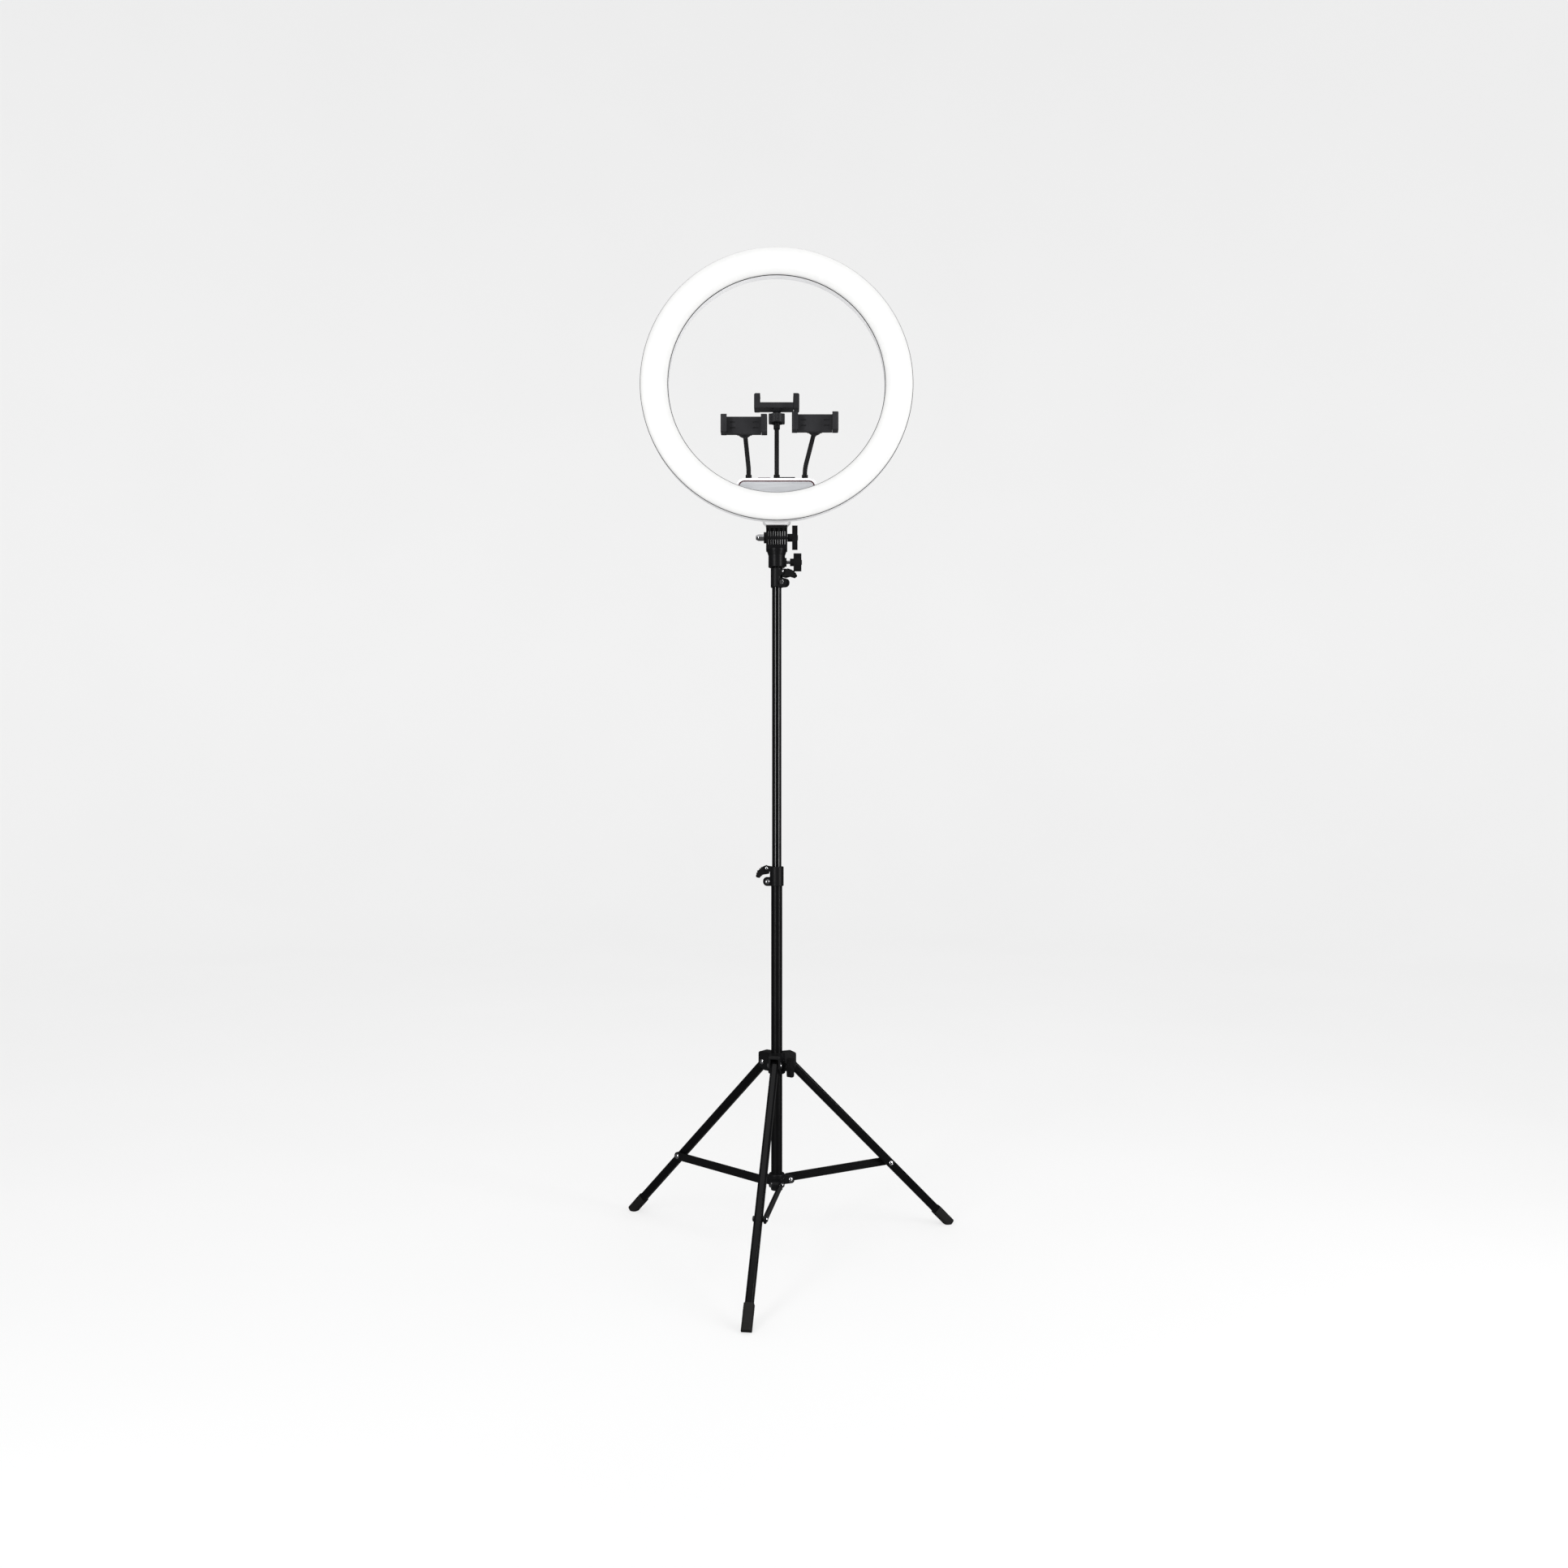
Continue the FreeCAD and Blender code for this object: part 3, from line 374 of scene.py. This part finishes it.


def make_diffuser():
    """The lit cover, crowned across its width, between two thin dark rings that paint the shade along its edges."""
    centre, half = (RING_R + HOLE_R) / 2, (RING_R - HOLE_R) / 2 - EDGE_SHADE_RING
    rise = RING_SEAM - RING_FRONT
    outside, inside = [], []
    steps = 28
    for step in range(steps + 1):
        angle = math.pi * step / steps
        bulge = math.sin(angle) ** 0.42
        reach = math.copysign(abs(math.cos(angle)) ** 0.72, math.cos(angle))
        outside.append((centre - half * reach, RING_SEAM - rise * bulge))
        inside.append((centre - (half - 1.8) * reach, RING_SEAM - max(rise - 1.8, 0) * bulge))
    bm = bmesh.new()
    lathe(bm, outside + inside[::-1], RING_PLACE, 288, closed=True)
    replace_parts(piece("ring_cover", bm, "milky_cover", "ring_head"), "diffuser")
    # Painted shade: dark rings along both edges of the cover.
    edge_shade_rings = bmesh.new()
    front, back = RING_SEAM - 1.3, RING_SEAM + 0.1
    for low, high in ((HOLE_R, HOLE_R + EDGE_SHADE_RING + 0.4), (RING_R - EDGE_SHADE_RING - 0.4, RING_R)):
        lathe(edge_shade_rings, [(low, front), (high, front), (high, back), (low, back)], RING_PLACE, 288, closed=True)
    piece("ring_edge_shade_rings", edge_shade_rings, "soft_rubber", "ring_head")


def make_ring_back():
    """Eight screws in round seats, two raised beads and a row of cooling ribs on the housing's back."""
    seats, screws, beads = bmesh.new(), bmesh.new(), bmesh.new()
    middle_r = (RING_R + HOLE_R) / 2
    for i in range(8):
        angle = math.tau * (i + 0.5) / 8
        centre = RING_PLACE @ Vector((middle_r * math.cos(angle), middle_r * math.sin(angle), RING_BACK))
        spot = placed(centre, (0, 1, 0))
        lathe(seats, [(6.2, -0.3), (6.2, 0.9), (5.6, 1.3), (4.3, 1.3), (4.1, 0.2), (0.1, 0.2)], spot, 28)
        lathe(screws, [(3.6, 0.1), (3.6, 0.5), (3.0, 0.95), (1.6, 1.15), (1.3, 0.5), (0.05, 0.4)], spot, 24)
    for radius in (HOLE_R + 11, RING_R - 11):
        bead = [(-1.1, -0.3), (-0.8, 0.6), (0, 0.9), (0.8, 0.6), (1.1, -0.3)]
        lathe(beads, [(radius + across, RING_BACK + up) for across, up in bead], RING_PLACE, 192, closed=True)
    for i in range(8):
        for step in range(-5, 6):
            angle = math.tau * i / 8 + math.radians(step * 2.1)
            along = Vector((math.cos(angle), math.sin(angle), 0))
            centre = RING_PLACE @ (along * middle_r + Vector((0, 0, RING_BACK)))
            up = (RING_PLACE.to_3x3() @ along).normalized()
            prism(beads, rounded(1.1, 9, 1.0, 3), -0.3, 0.9, placed(centre, (0, 1, 0), up))
    piece("ring_screw_seats", seats, "white_shell", "ring_head")
    piece("ring_screws", screws, "bright_steel", "ring_head")
    piece("ring_back_ribs", beads, "white_shell", "ring_head")


make_diffuser()
make_ring_back()


# ---------------------------------------------------------------- control box
BOX_LOW, BOX_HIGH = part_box("box_shell")
BOX_MIDDLE = (BOX_LOW + BOX_HIGH) / 2
BOX_HALF_X = (BOX_HIGH.x - BOX_LOW.x) / 2 / MM
BOX_HALF_Z = (BOX_HIGH.z - BOX_LOW.z) / 2 / MM


def box_outline(inset):
    """The control box's front outline, inset all round: small corners below and larger ones above."""
    points = []
    half_x, half_z = BOX_HALF_X - inset, BOX_HALF_Z - inset
    radii = ((1, 1, 14 - inset), (-1, 1, 14 - inset), (-1, -1, 8 - inset * 0.5), (1, -1, 8 - inset * 0.5))
    for corner, (sign_x, sign_z, radius) in enumerate(radii):
        for step in range(9):
            angle = math.radians(90 * corner + 90 * step / 8)
            points.append((sign_x * (half_x - radius) + radius * math.cos(angle),
                           sign_z * (half_z - radius) + radius * math.sin(angle)))
    return points


def make_box_details():
    front = placed(Vector((BOX_MIDDLE.x, BOX_LOW.y, BOX_MIDDLE.z)), (0, -1, 0))
    # Painted shade: a dark maroon frame fills the recess round the panel, where its shadow line falls.
    trim = bmesh.new()
    frame_of(trim, box_outline(3.6), box_outline(5.9), -1.7, -0.15, front)
    piece("panel_trim", trim, "panel_shadow_line", "ring_head", soften=0.2)
    bead = bmesh.new()
    frame_of(bead, box_outline(7.4), box_outline(8.0), -0.5, -0.12, front)
    piece("panel_bead", bead, "silver_panel", "ring_head", soften=0.1)
    back = placed(Vector((BOX_MIDDLE.x, BOX_HIGH.y, BOX_MIDDLE.z)), (0, 1, 0))
    seats, screws = bmesh.new(), bmesh.new()
    for x in (-1, 1):
        for z in (-1, 1):
            spot = back @ Matrix.Translation((x * (BOX_HALF_X - 9), z * (BOX_HALF_Z - 9), 0))
            lathe(seats, [(4.4, -0.3), (4.4, 0.5), (4.0, 0.8), (3.1, 0.8), (3.0, 0.1), (0.1, 0.1)], spot, 28)
            lathe(screws, [(2.7, 0.0), (2.7, 0.35), (2.1, 0.7), (1.2, 0.8), (1.0, 0.3), (0.05, 0.25)], spot, 24)
    piece("box_screw_seats", seats, "white_shell", "ring_head")
    piece("box_screws", screws, "bright_steel", "ring_head")
    seam = bmesh.new()
    for inset, depth in ((-0.25, 19.0), (-0.25, 21.2)):
        frame_of(seam, box_outline(inset), box_outline(0.6), -depth - 0.4, -depth + 0.4, back)
    piece("box_seam_ribs", seam, "white_shell", "ring_head", soften=0.2)


def make_display():
    """A lens frame and a plain rising bar graph behind the screen's glass."""
    low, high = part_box("display")
    face = placed(Vector(((low.x + high.x) / 2, high.y, (low.z + high.z) / 2)), (0, 1, 0))
    bezel, bars = bmesh.new(), bmesh.new()
    frame_of(bezel, rounded(22.9, 10.9, 2.2), rounded(20.6, 8.6, 1.2), -1.2, 0.45, face)
    for i in range(10):
        tall = 1.5 + i * 0.55
        prism(bars, [(x + 15.3 - i * 3.4, z) for x, z in ((-1, -6), (1, -6), (1, tall), (-1, tall))],
              -0.1, 0.08, face)
    piece("display_bezel", bezel, "moulded_black", "ring_head", soften=0.3)
    piece("display_bars", bars, "display_glow", "ring_head")


def make_dial(node, body):
    """A knurled grip and a metal cap on a dial, and its ring of ticks on the box."""
    low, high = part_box(node)
    centre = (low + high) / 2
    face = placed(Vector((centre.x, BOX_HIGH.y, centre.z)), (0, 1, 0))
    grip, cap, ticks = bmesh.new(), bmesh.new(), bmesh.new()
    lathe(grip, [(9.2, 1.0), (9.75, 1.4), (9.5, 7.4), (9.0, 8.0)], face, 144,
          ripple=lambda angle: 1 + 0.022 * math.cos(36 * angle))
    lathe(cap, [(6.0, 9.8), (6.0, 10.2), (5.6, 10.5), (5.0, 10.35), (0.1, 10.3)], face, 48)
    for i in range(11):
        angle = math.radians(-135 + 27 * i)
        spot = face @ Matrix.Rotation(angle, 4, "Z") @ Matrix.Translation((0, 12.6, 0))
        prism(ticks, rounded(0.35, 1.1 + 0.12 * i, 0.3, 2), -0.2, 0.25, spot)
    piece(node + "_grip", grip, "knob_black", body)
    piece(node + "_cap", cap, "spigot_steel", body)
    piece(node + "_ticks", ticks, "moulded_black", "ring_head")


def make_ports():
    """Contact strips in the two USB sockets and a finger lip on their cover."""
    contacts, lip = bmesh.new(), bmesh.new()
    low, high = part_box("usb_ports")
    span = (high.x - low.x) / MM
    for side in (-1, 1):
        centre = Vector(((low.x + high.x) / 2 + side * (span / 2 - 6.8) * MM, (low.y + high.y) / 2, high.z))
        for i in range(4):
            spot = placed(centre + Vector(((i - 1.5) * 2.4, 0, 0)) * MM, UP, (0, 1, 0))
            prism(contacts, rounded(0.5, 0.25, 0.1, 2, (0, -0.5)), -8, -2.2, spot)
    cover_low, cover_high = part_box("usb_cover")
    middle_x = (cover_low.x + cover_high.x) / 2
    spot = placed(Vector((middle_x, cover_low.y, cover_high.z - 1.3 * MM)), (0, -1, 0))
    prism(lip, rounded(6, 0.8, 0.7, 4), -0.4, 1.0, spot)
    top = placed(Vector((middle_x, (cover_low.y + cover_high.y) / 2, cover_high.z)), UP, (0, 1, 0))
    for y in (-3.5, -1.5, 0.5):
        prism(lip, rounded(9, 0.4, 0.35, 3, (0, y)), -0.2, 0.35, top)
    piece("usb_contacts", contacts, "spigot_steel", "ring_head")
    piece("usb_cover_grip", lip, "soft_rubber", "usb_cover", soften=0.15)


def extra_materials():
    # Painted shade: the dark maroon of the panel's shadow line.
    MATERIALS["panel_shadow_line"] = surface("panel_shadow_line", (0.040, 0.007, 0.010), (0.062, 0.011, 0.015), 0.5)
    glow = surface("display_glow", (0.35, 0.75, 0.8), (0.45, 0.85, 0.9), 0.3)
    glow.node_tree.nodes["Principled BSDF"].inputs["Emission Color"].default_value = (0.35, 0.8, 0.85, 1)
    glow.node_tree.nodes["Principled BSDF"].inputs["Emission Strength"].default_value = 0.8
    MATERIALS["display_glow"] = glow


extra_materials()
make_box_details()
make_display()
make_dial("brightness_dial", "brightness_dial")
make_dial("colour_dial", "colour_dial")
make_ports()


# ---------------------------------------------------------------- goosenecks and phone clamps
NECK_R = 4.0
NECK_BASE = (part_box("box_shell")[1].z) / MM
NECK_Y = (middle("lock_ring_middle").y - AXIS.y) / MM
SIDES = ("left", "middle", "right")


def clamp_place(side):
    """Local millimetres of a clamp: local Z leaves the gooseneck's end, local X runs along the jaws' travel."""
    ring_low, ring_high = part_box("lock_ring_" + side)
    centre = (ring_low + ring_high) / 2
    if side == "middle":
        return placed(Vector((centre.x, centre.y, ring_low.z + MM)), UP, (0, 1, 0))
    return Matrix.Translation((centre.x, ring_high.y - MM, centre.z)) @ \
        Matrix.Rotation(math.radians(90), 4, "X") @ Matrix.Scale(MM, 4)


def neck_path(side):
    """Points down the middle of a gooseneck, from the control box to just inside its end fitting."""
    place = clamp_place(side)
    end = place @ Vector((0, 0, -9))
    base = Vector((end.x if side == "middle" else 0, AXIS.y + NECK_Y * MM, (NECK_BASE + 1) * MM))
    if side == "middle":
        return [base.lerp(end, i / 60) for i in range(61)]
    base.x = AXIS.x + (-48 if side == "left" else 48) * MM
    corners = [base, Vector((base.x, base.y, 1331 * MM)), Vector((end.x, base.y, end.z)), end]
    path = [base]
    for before, here, after, radius in zip(corners, corners[1:], corners[2:], (80 * MM, 17 * MM)):
        back, ahead = (before - here).normalized(), (after - here).normalized()
        half = back.angle(ahead) / 2
        reach = radius / math.tan(half)
        start, stop = here + back * reach, here + ahead * reach
        centre = here + (back + ahead).normalized() * (radius / math.sin(half))
        for step in range(25):
            path.append(centre + (start - centre).slerp(stop - centre, step / 24) * radius)
    path.append(end)
    return path


def evenly(path, spacing):
    """The same path in steps of one length."""
    points, left = [path[0].copy()], spacing
    for first, second in zip(path, path[1:]):
        length = (second - first).length
        if length < 1e-9:
            continue
        travelled = 0.0
        while length - travelled >= left:
            travelled += left
            points.append(first.lerp(second, travelled / length))
            left = spacing
        left -= length - travelled
    points.append(path[-1].copy())
    return points


def tube_along(bm, path, radius_at, segments=20):
    """A tube down a path; radius_at gives the radius in metres at a distance along it."""
    side, rings, travelled = Vector((1, 0, 0)), [], 0.0
    for i, point in enumerate(path):
        ahead = (path[min(i + 1, len(path) - 1)] - path[max(i - 1, 0)]).normalized()
        side = (side - ahead * side.dot(ahead)).normalized()
        other = ahead.cross(side)
        travelled += (point - path[i - 1]).length if i else 0
        radius = radius_at(travelled)
        ring = []
        for step in range(segments):
            angle = math.tau * step / segments
            ring.append(bm.verts.new(point + (side * math.cos(angle) + other * math.sin(angle)) * radius))
        rings.append(ring)
    for low, high in zip(rings, rings[1:]):
        for i in range(segments):
            j = (i + 1) % segments
            bm.faces.new((low[i], low[j], high[j], high[i]))
    bm.faces.new(rings[0])
    bm.faces.new(rings[-1])


def make_goosenecks():
    """Three bent tubes of interlocked rounded coils."""
    bm = bmesh.new()
    pitch = 2.6 * MM
    for side in SIDES:
        path = evenly(neck_path(side), pitch / 8)
        tube_along(bm, path, lambda s: NECK_R * MM * (0.90 + 0.10 * abs(math.sin(math.pi * s / pitch)) ** 0.6))
    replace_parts(piece("gooseneck_coils", bm, "neck_black", "ring_head", sharp=60), "goosenecks")


def make_clamp_details(side):
    """Ribbed rubber pads on both jaws, and grip lines round the lock ring."""
    place = clamp_place(side)
    fixed, sliding, grip = bmesh.new(), bmesh.new(), bmesh.new()
    for bm, face, sign in ((fixed, -29.6, 1), (sliding, 29.1, -1)):
        spot = place @ Matrix.Translation((face, 0, 37.3)) @ Matrix.Rotation(math.radians(90 * sign), 4, "Y")
        prism(bm, rounded(5.4, 12.6, 1.5, 4), 0, 0.7, spot)
        for step in range(-5, 6):
            prism(bm, rounded(5.0, 0.5, 0.45, 3, (0, step * 2.2)), 0.5, 1.15, spot)
    for i in range(6):
        for step in (-1, 0, 1):
            spot = place @ Matrix.Rotation(math.radians(60 * i + 30 + step * 6), 4, "Z")
            reach = 15.4 - (0.55 if step else 0)
            prism(grip, rounded(0.3, 5.2, 0.28, 2, (0, 6)), reach - 0.5, reach + 0.15,
                  spot @ Matrix.Rotation(math.radians(90), 4, "Y") @ Matrix.Rotation(math.radians(90), 4, "Z"))
    piece("jaw_pad_fixed_" + side, fixed, "soft_rubber", "clamp_" + side)
    piece("jaw_pad_sliding_" + side, sliding, "soft_rubber", "jaw_" + side)
    piece("lock_ring_grip_" + side, grip, "clamp_black", "lock_ring_" + side)


make_goosenecks()
for clamp_side in SIDES:
    make_clamp_details(clamp_side)


# ---------------------------------------------------------------- column, hubs and legs
LEGS = {"front": -7.16, "right": 112.84, "left": -127.16}     # azimuths, from -Y towards +X
HUB_Z, BRACE_HUB_Z = 318, 117
LEG_PIVOT_R = 24
LEG_LEAN = 44.66                       # degrees between a leg and the column
RIVET_R, RIVET_Z = 215.9, 123.8
BRACE_FAR = 12.0                       # the brace's outer face, to the side of the leg's upright plane
KNOB_AZIMUTH = 53


def rivet_head(bm, place, radius=4.1, height=1.7):
    """A domed rivet with a rolled edge and a small dimple."""
    lathe(bm, [(radius, -0.6), (radius + 0.25, 0), (radius * 0.97, height * 0.35), (radius * 0.78, height * 0.72),
               (radius * 0.5, height * 0.95), (radius * 0.3, height), (radius * 0.22, height * 0.8),
               (0.05, height * 0.72)], place, 36)


def make_rivets():
    hub, base = bmesh.new(), bmesh.new()
    for side, azimuth in LEGS.items():
        for sign in (1, -1):
            rivet_head(hub, sideways(azimuth, LEG_PIVOT_R, HUB_Z, 10.9 * sign, sign))
        rivet_head(base, sideways(azimuth, LEG_PIVOT_R, BRACE_HUB_Z, BRACE_FAR + 1.7, 1))
        rivet_head(base, sideways(azimuth, LEG_PIVOT_R, BRACE_HUB_Z, -6.0, -1))
        on_leg, on_brace = bmesh.new(), bmesh.new()
        rivet_head(on_leg, sideways(azimuth, RIVET_R, RIVET_Z, -7.8, -1), 4.3)
        rivet_head(on_brace, sideways(azimuth, RIVET_R, RIVET_Z, BRACE_FAR + 1.4, 1), 4.3)
        piece("leg_rivet_" + side, on_leg, "bright_steel", "leg_" + side)
        piece("brace_rivet_" + side, on_brace, "bright_steel", "brace_" + side)
    piece("hub_rivets", hub, "bright_steel", "hub")
    piece("brace_hub_rivets", base, "bright_steel", "base")


def wing_details(name, place, head, thick, tall, wide, body):
    """Grip ribs down both wings of a knob, and a dished cap with a raised rim in the middle of its head."""
    grip, cap = bmesh.new(), bmesh.new()
    for sign_x in (-1, 1):
        for sign_y in (-1, 1):
            for step in range(4):
                y = sign_y * (tall / 2 - 3.4 - step * 2.1)
                spot = place @ Matrix.Translation((sign_x * (wide / 2 - 0.75 + 0.1 * step), y, head + thick / 2)) @ \
                    Matrix.Rotation(math.radians(90 * sign_x), 4, "Y")
                prism(grip, rounded(thick / 2 - 1.2, 0.5, 0.45, 3), -0.5, 0.55, spot)
    top = head + thick
    lathe(cap, [(4.3, top - 0.4), (4.3, top + 0.5), (3.9, top + 0.9), (3.2, top + 0.9), (2.9, top + 0.35),
                (0.05, top + 0.2)], place, 40)
    piece(name + "_grip", grip, "knob_black", body, soften=0.1)
    piece(name + "_cap", cap, "moulded_black", body)


def make_knob_details():
    wing_details("hub_knob", outward(KNOB_AZIMUTH, 0, 313), 24.5, 9, 32, 11, "hub_knob")
    wing_details("receiver_knob", outward(90, 0, 1170), 28.6, 13.4, 30, 13, "receiver_knob")
    place = outward(90, 0, 1212)
    grip, cap = bmesh.new(), bmesh.new()
    for sign_x in (-1, 1):
        for sign_y in (-1, 1):
            for step in range(5):
                spot = place @ Matrix.Translation((sign_x * 6, sign_y * (17.2 - step * 2.2), 30.9)) @ \
                    Matrix.Rotation(math.radians(90 * sign_x), 4, "Y")
                prism(grip, rounded(3.4, 0.5, 0.45, 3), -0.4, 0.45, spot)
    lathe(cap, [(4.6, 35.1), (4.6, 35.8), (4.2, 36.2), (3.4, 36.2), (3.1, 35.7), (0.05, 35.6)], place, 40)
    piece("tilt_knob_grip", grip, "knob_black", "tilt_knob", soften=0.1)
    piece("tilt_knob_cap", cap, "moulded_black", "tilt_knob")


def collar_hardware(name, tube_r, bottom, azimuth, pivot_height, body):
    """A socket screw's head and a hexagon nut on the ears, and domed ends on the lever's pin."""
    skin = tube_r + 2.3
    steel = bmesh.new()
    ear_r, pivot_r = skin + 4.2, skin + 5.7
    for sign in (1, -1):
        rivet_head(steel, sideways(azimuth, pivot_r, bottom + pivot_height, 7.35 * sign, sign), 2.4, 0.9)
    nut = sideways(azimuth, ear_r, bottom + 7.5, 8.5, 1)
    lathe(steel, [(4.5, -2.3), (4.5, 0.0), (4.0, 0.5), (2.6, 0.6), (2.4, 1.4), (1.6, 1.7), (0.05, 1.7)], nut, 6)
    head = sideways(azimuth, ear_r, bottom + 7.5, -8.1, -1)
    lathe(steel, [(4.1, -1.9), (4.1, 0.2), (3.6, 0.8), (2.1, 0.9)], head, 36)
    lathe(steel, [(2.1, 0.9), (2.0, 0.1), (0.05, 0.0)], head, 6)
    piece(name, steel, "bright_steel", body, soften=0.12)


def make_foot_boots():
    """Raised bands round each rubber foot, the first at its mouth."""
    for side, azimuth in LEGS.items():
        angle = math.radians(azimuth)
        out = Vector((math.sin(angle), -math.cos(angle), 0))
        lean = math.radians(LEG_LEAN)
        down = out * math.sin(lean) - UP * math.cos(lean)
        place = placed(at(*(out * LEG_PIVOT_R + UP * HUB_Z)), down, out)
        bm = bmesh.new()
        for along, grow, half in ((406.4, 1.6, 0.8), (412, 1.7, 0.7), (415.5, 1.7, 0.7), (419, 1.7, 0.7)):
            outer, inner = [rounded(6.4 + more, 7 + more, 3.5 + more, 6) for more in (grow, 1.1)]
            frame_of(bm, outer, inner, along - half, along + half, place)
        piece("foot_bands_" + side, bm, "foot_rubber", "leg_" + side, soften=0.3)


make_rivets()
make_knob_details()
collar_hardware("lower_collar_screw", 9.5, 619, -88, 30.5, "base")
collar_hardware("upper_collar_screw", 8.0, 1127, 60, 26, "mid_section")
make_foot_boots()


# ---------------------------------------------------------------- floor, backdrop and light
def make_studio():
    """A pale floor that curves up into a round wall, open at the top."""
    mat, tree, shader, place = new_material("studio_white")
    cloud = noise(tree, place, 1.5, 2)
    tree.links.new(blend_colours(tree, spread(tree, cloud, 0, 1), (0.245, 0.245, 0.245), (0.255, 0.255, 0.255)),
                   shader.inputs["Base Color"])
    shader.inputs["Roughness"].default_value = 0.8
    shader.inputs["Emission Color"].default_value = (1, 1, 1, 1)
    shader.inputs["Emission Strength"].default_value = 0.66
    bm = bmesh.new()
    floor_r, curve_r, wall_top = 4500, 1500, 9000
    profile = [(0.05, 0), (floor_r, 0)]
    for angle in range(9, 91, 9):
        turn = math.radians(angle)
        profile.append((floor_r + curve_r * math.sin(turn), curve_r - curve_r * math.cos(turn)))
    profile.append((floor_r + curve_r, wall_top))
    lathe(bm, profile, placed(at(0, 0, 0), UP, (0, 1, 0)), 96)
    bm.faces.ensure_lookup_table()
    bm.faces.remove(bm.faces[-1])
    mesh = bpy.data.meshes.new("studio")
    bm.to_mesh(mesh)
    bm.free()
    mesh.materials.append(mat)
    mesh.polygons.foreach_set("use_smooth", [True] * len(mesh.polygons))
    studio = bpy.data.objects.new("studio", mesh)
    studio.visible_glossy = False
    bpy.context.scene.collection.objects.link(studio)


def make_light(name, place, target, size, power, height=None):
    data = bpy.data.lights.new(name, "AREA")
    data.shape = "RECTANGLE"
    data.size = size
    data.size_y = height or size
    data.energy = power
    light = bpy.data.objects.new(name, data)
    light.location = place
    light.rotation_euler = (Vector(target) - Vector(place)).to_track_quat("-Z", "Y").to_euler()
    bpy.context.scene.collection.objects.link(light)


def make_lights():
    """Two upright strips and a soft top light, in air that is dimmer in reflections than to the eye."""
    target = (AXIS.x, AXIS.y, 0.8)
    make_light("key", (-1.25, -1.85, 1.15), target, 0.36, 30, 2.3)
    make_light("fill", (1.75, -1.1, 1.15), target, 0.36, 30, 2.3)
    make_light("top", (0, -0.3, 3.6), (0, 0, 0.8), 2.4, 26)
    world = bpy.data.worlds.new("studio_air")
    world.use_nodes = True
    tree = world.node_tree
    background = tree.nodes["Background"]
    background.inputs["Color"].default_value = (1, 1, 1, 1)
    rays = tree.nodes.new("ShaderNodeLightPath")
    calm = tree.nodes.new("ShaderNodeMath")
    calm.operation = "SUBTRACT"
    tree.links.new(spread(tree, rays.outputs["Is Camera Ray"], 0.28, 0.9, 0, 1), calm.inputs[0])
    tree.links.new(spread(tree, rays.outputs["Is Glossy Ray"], 0, 0.2, 0, 1), calm.inputs[1])
    tree.links.new(calm.outputs[0], background.inputs["Strength"])
    bpy.context.scene.world = world
    bpy.context.scene.view_settings.view_transform = "Standard"


make_studio()
make_lights()
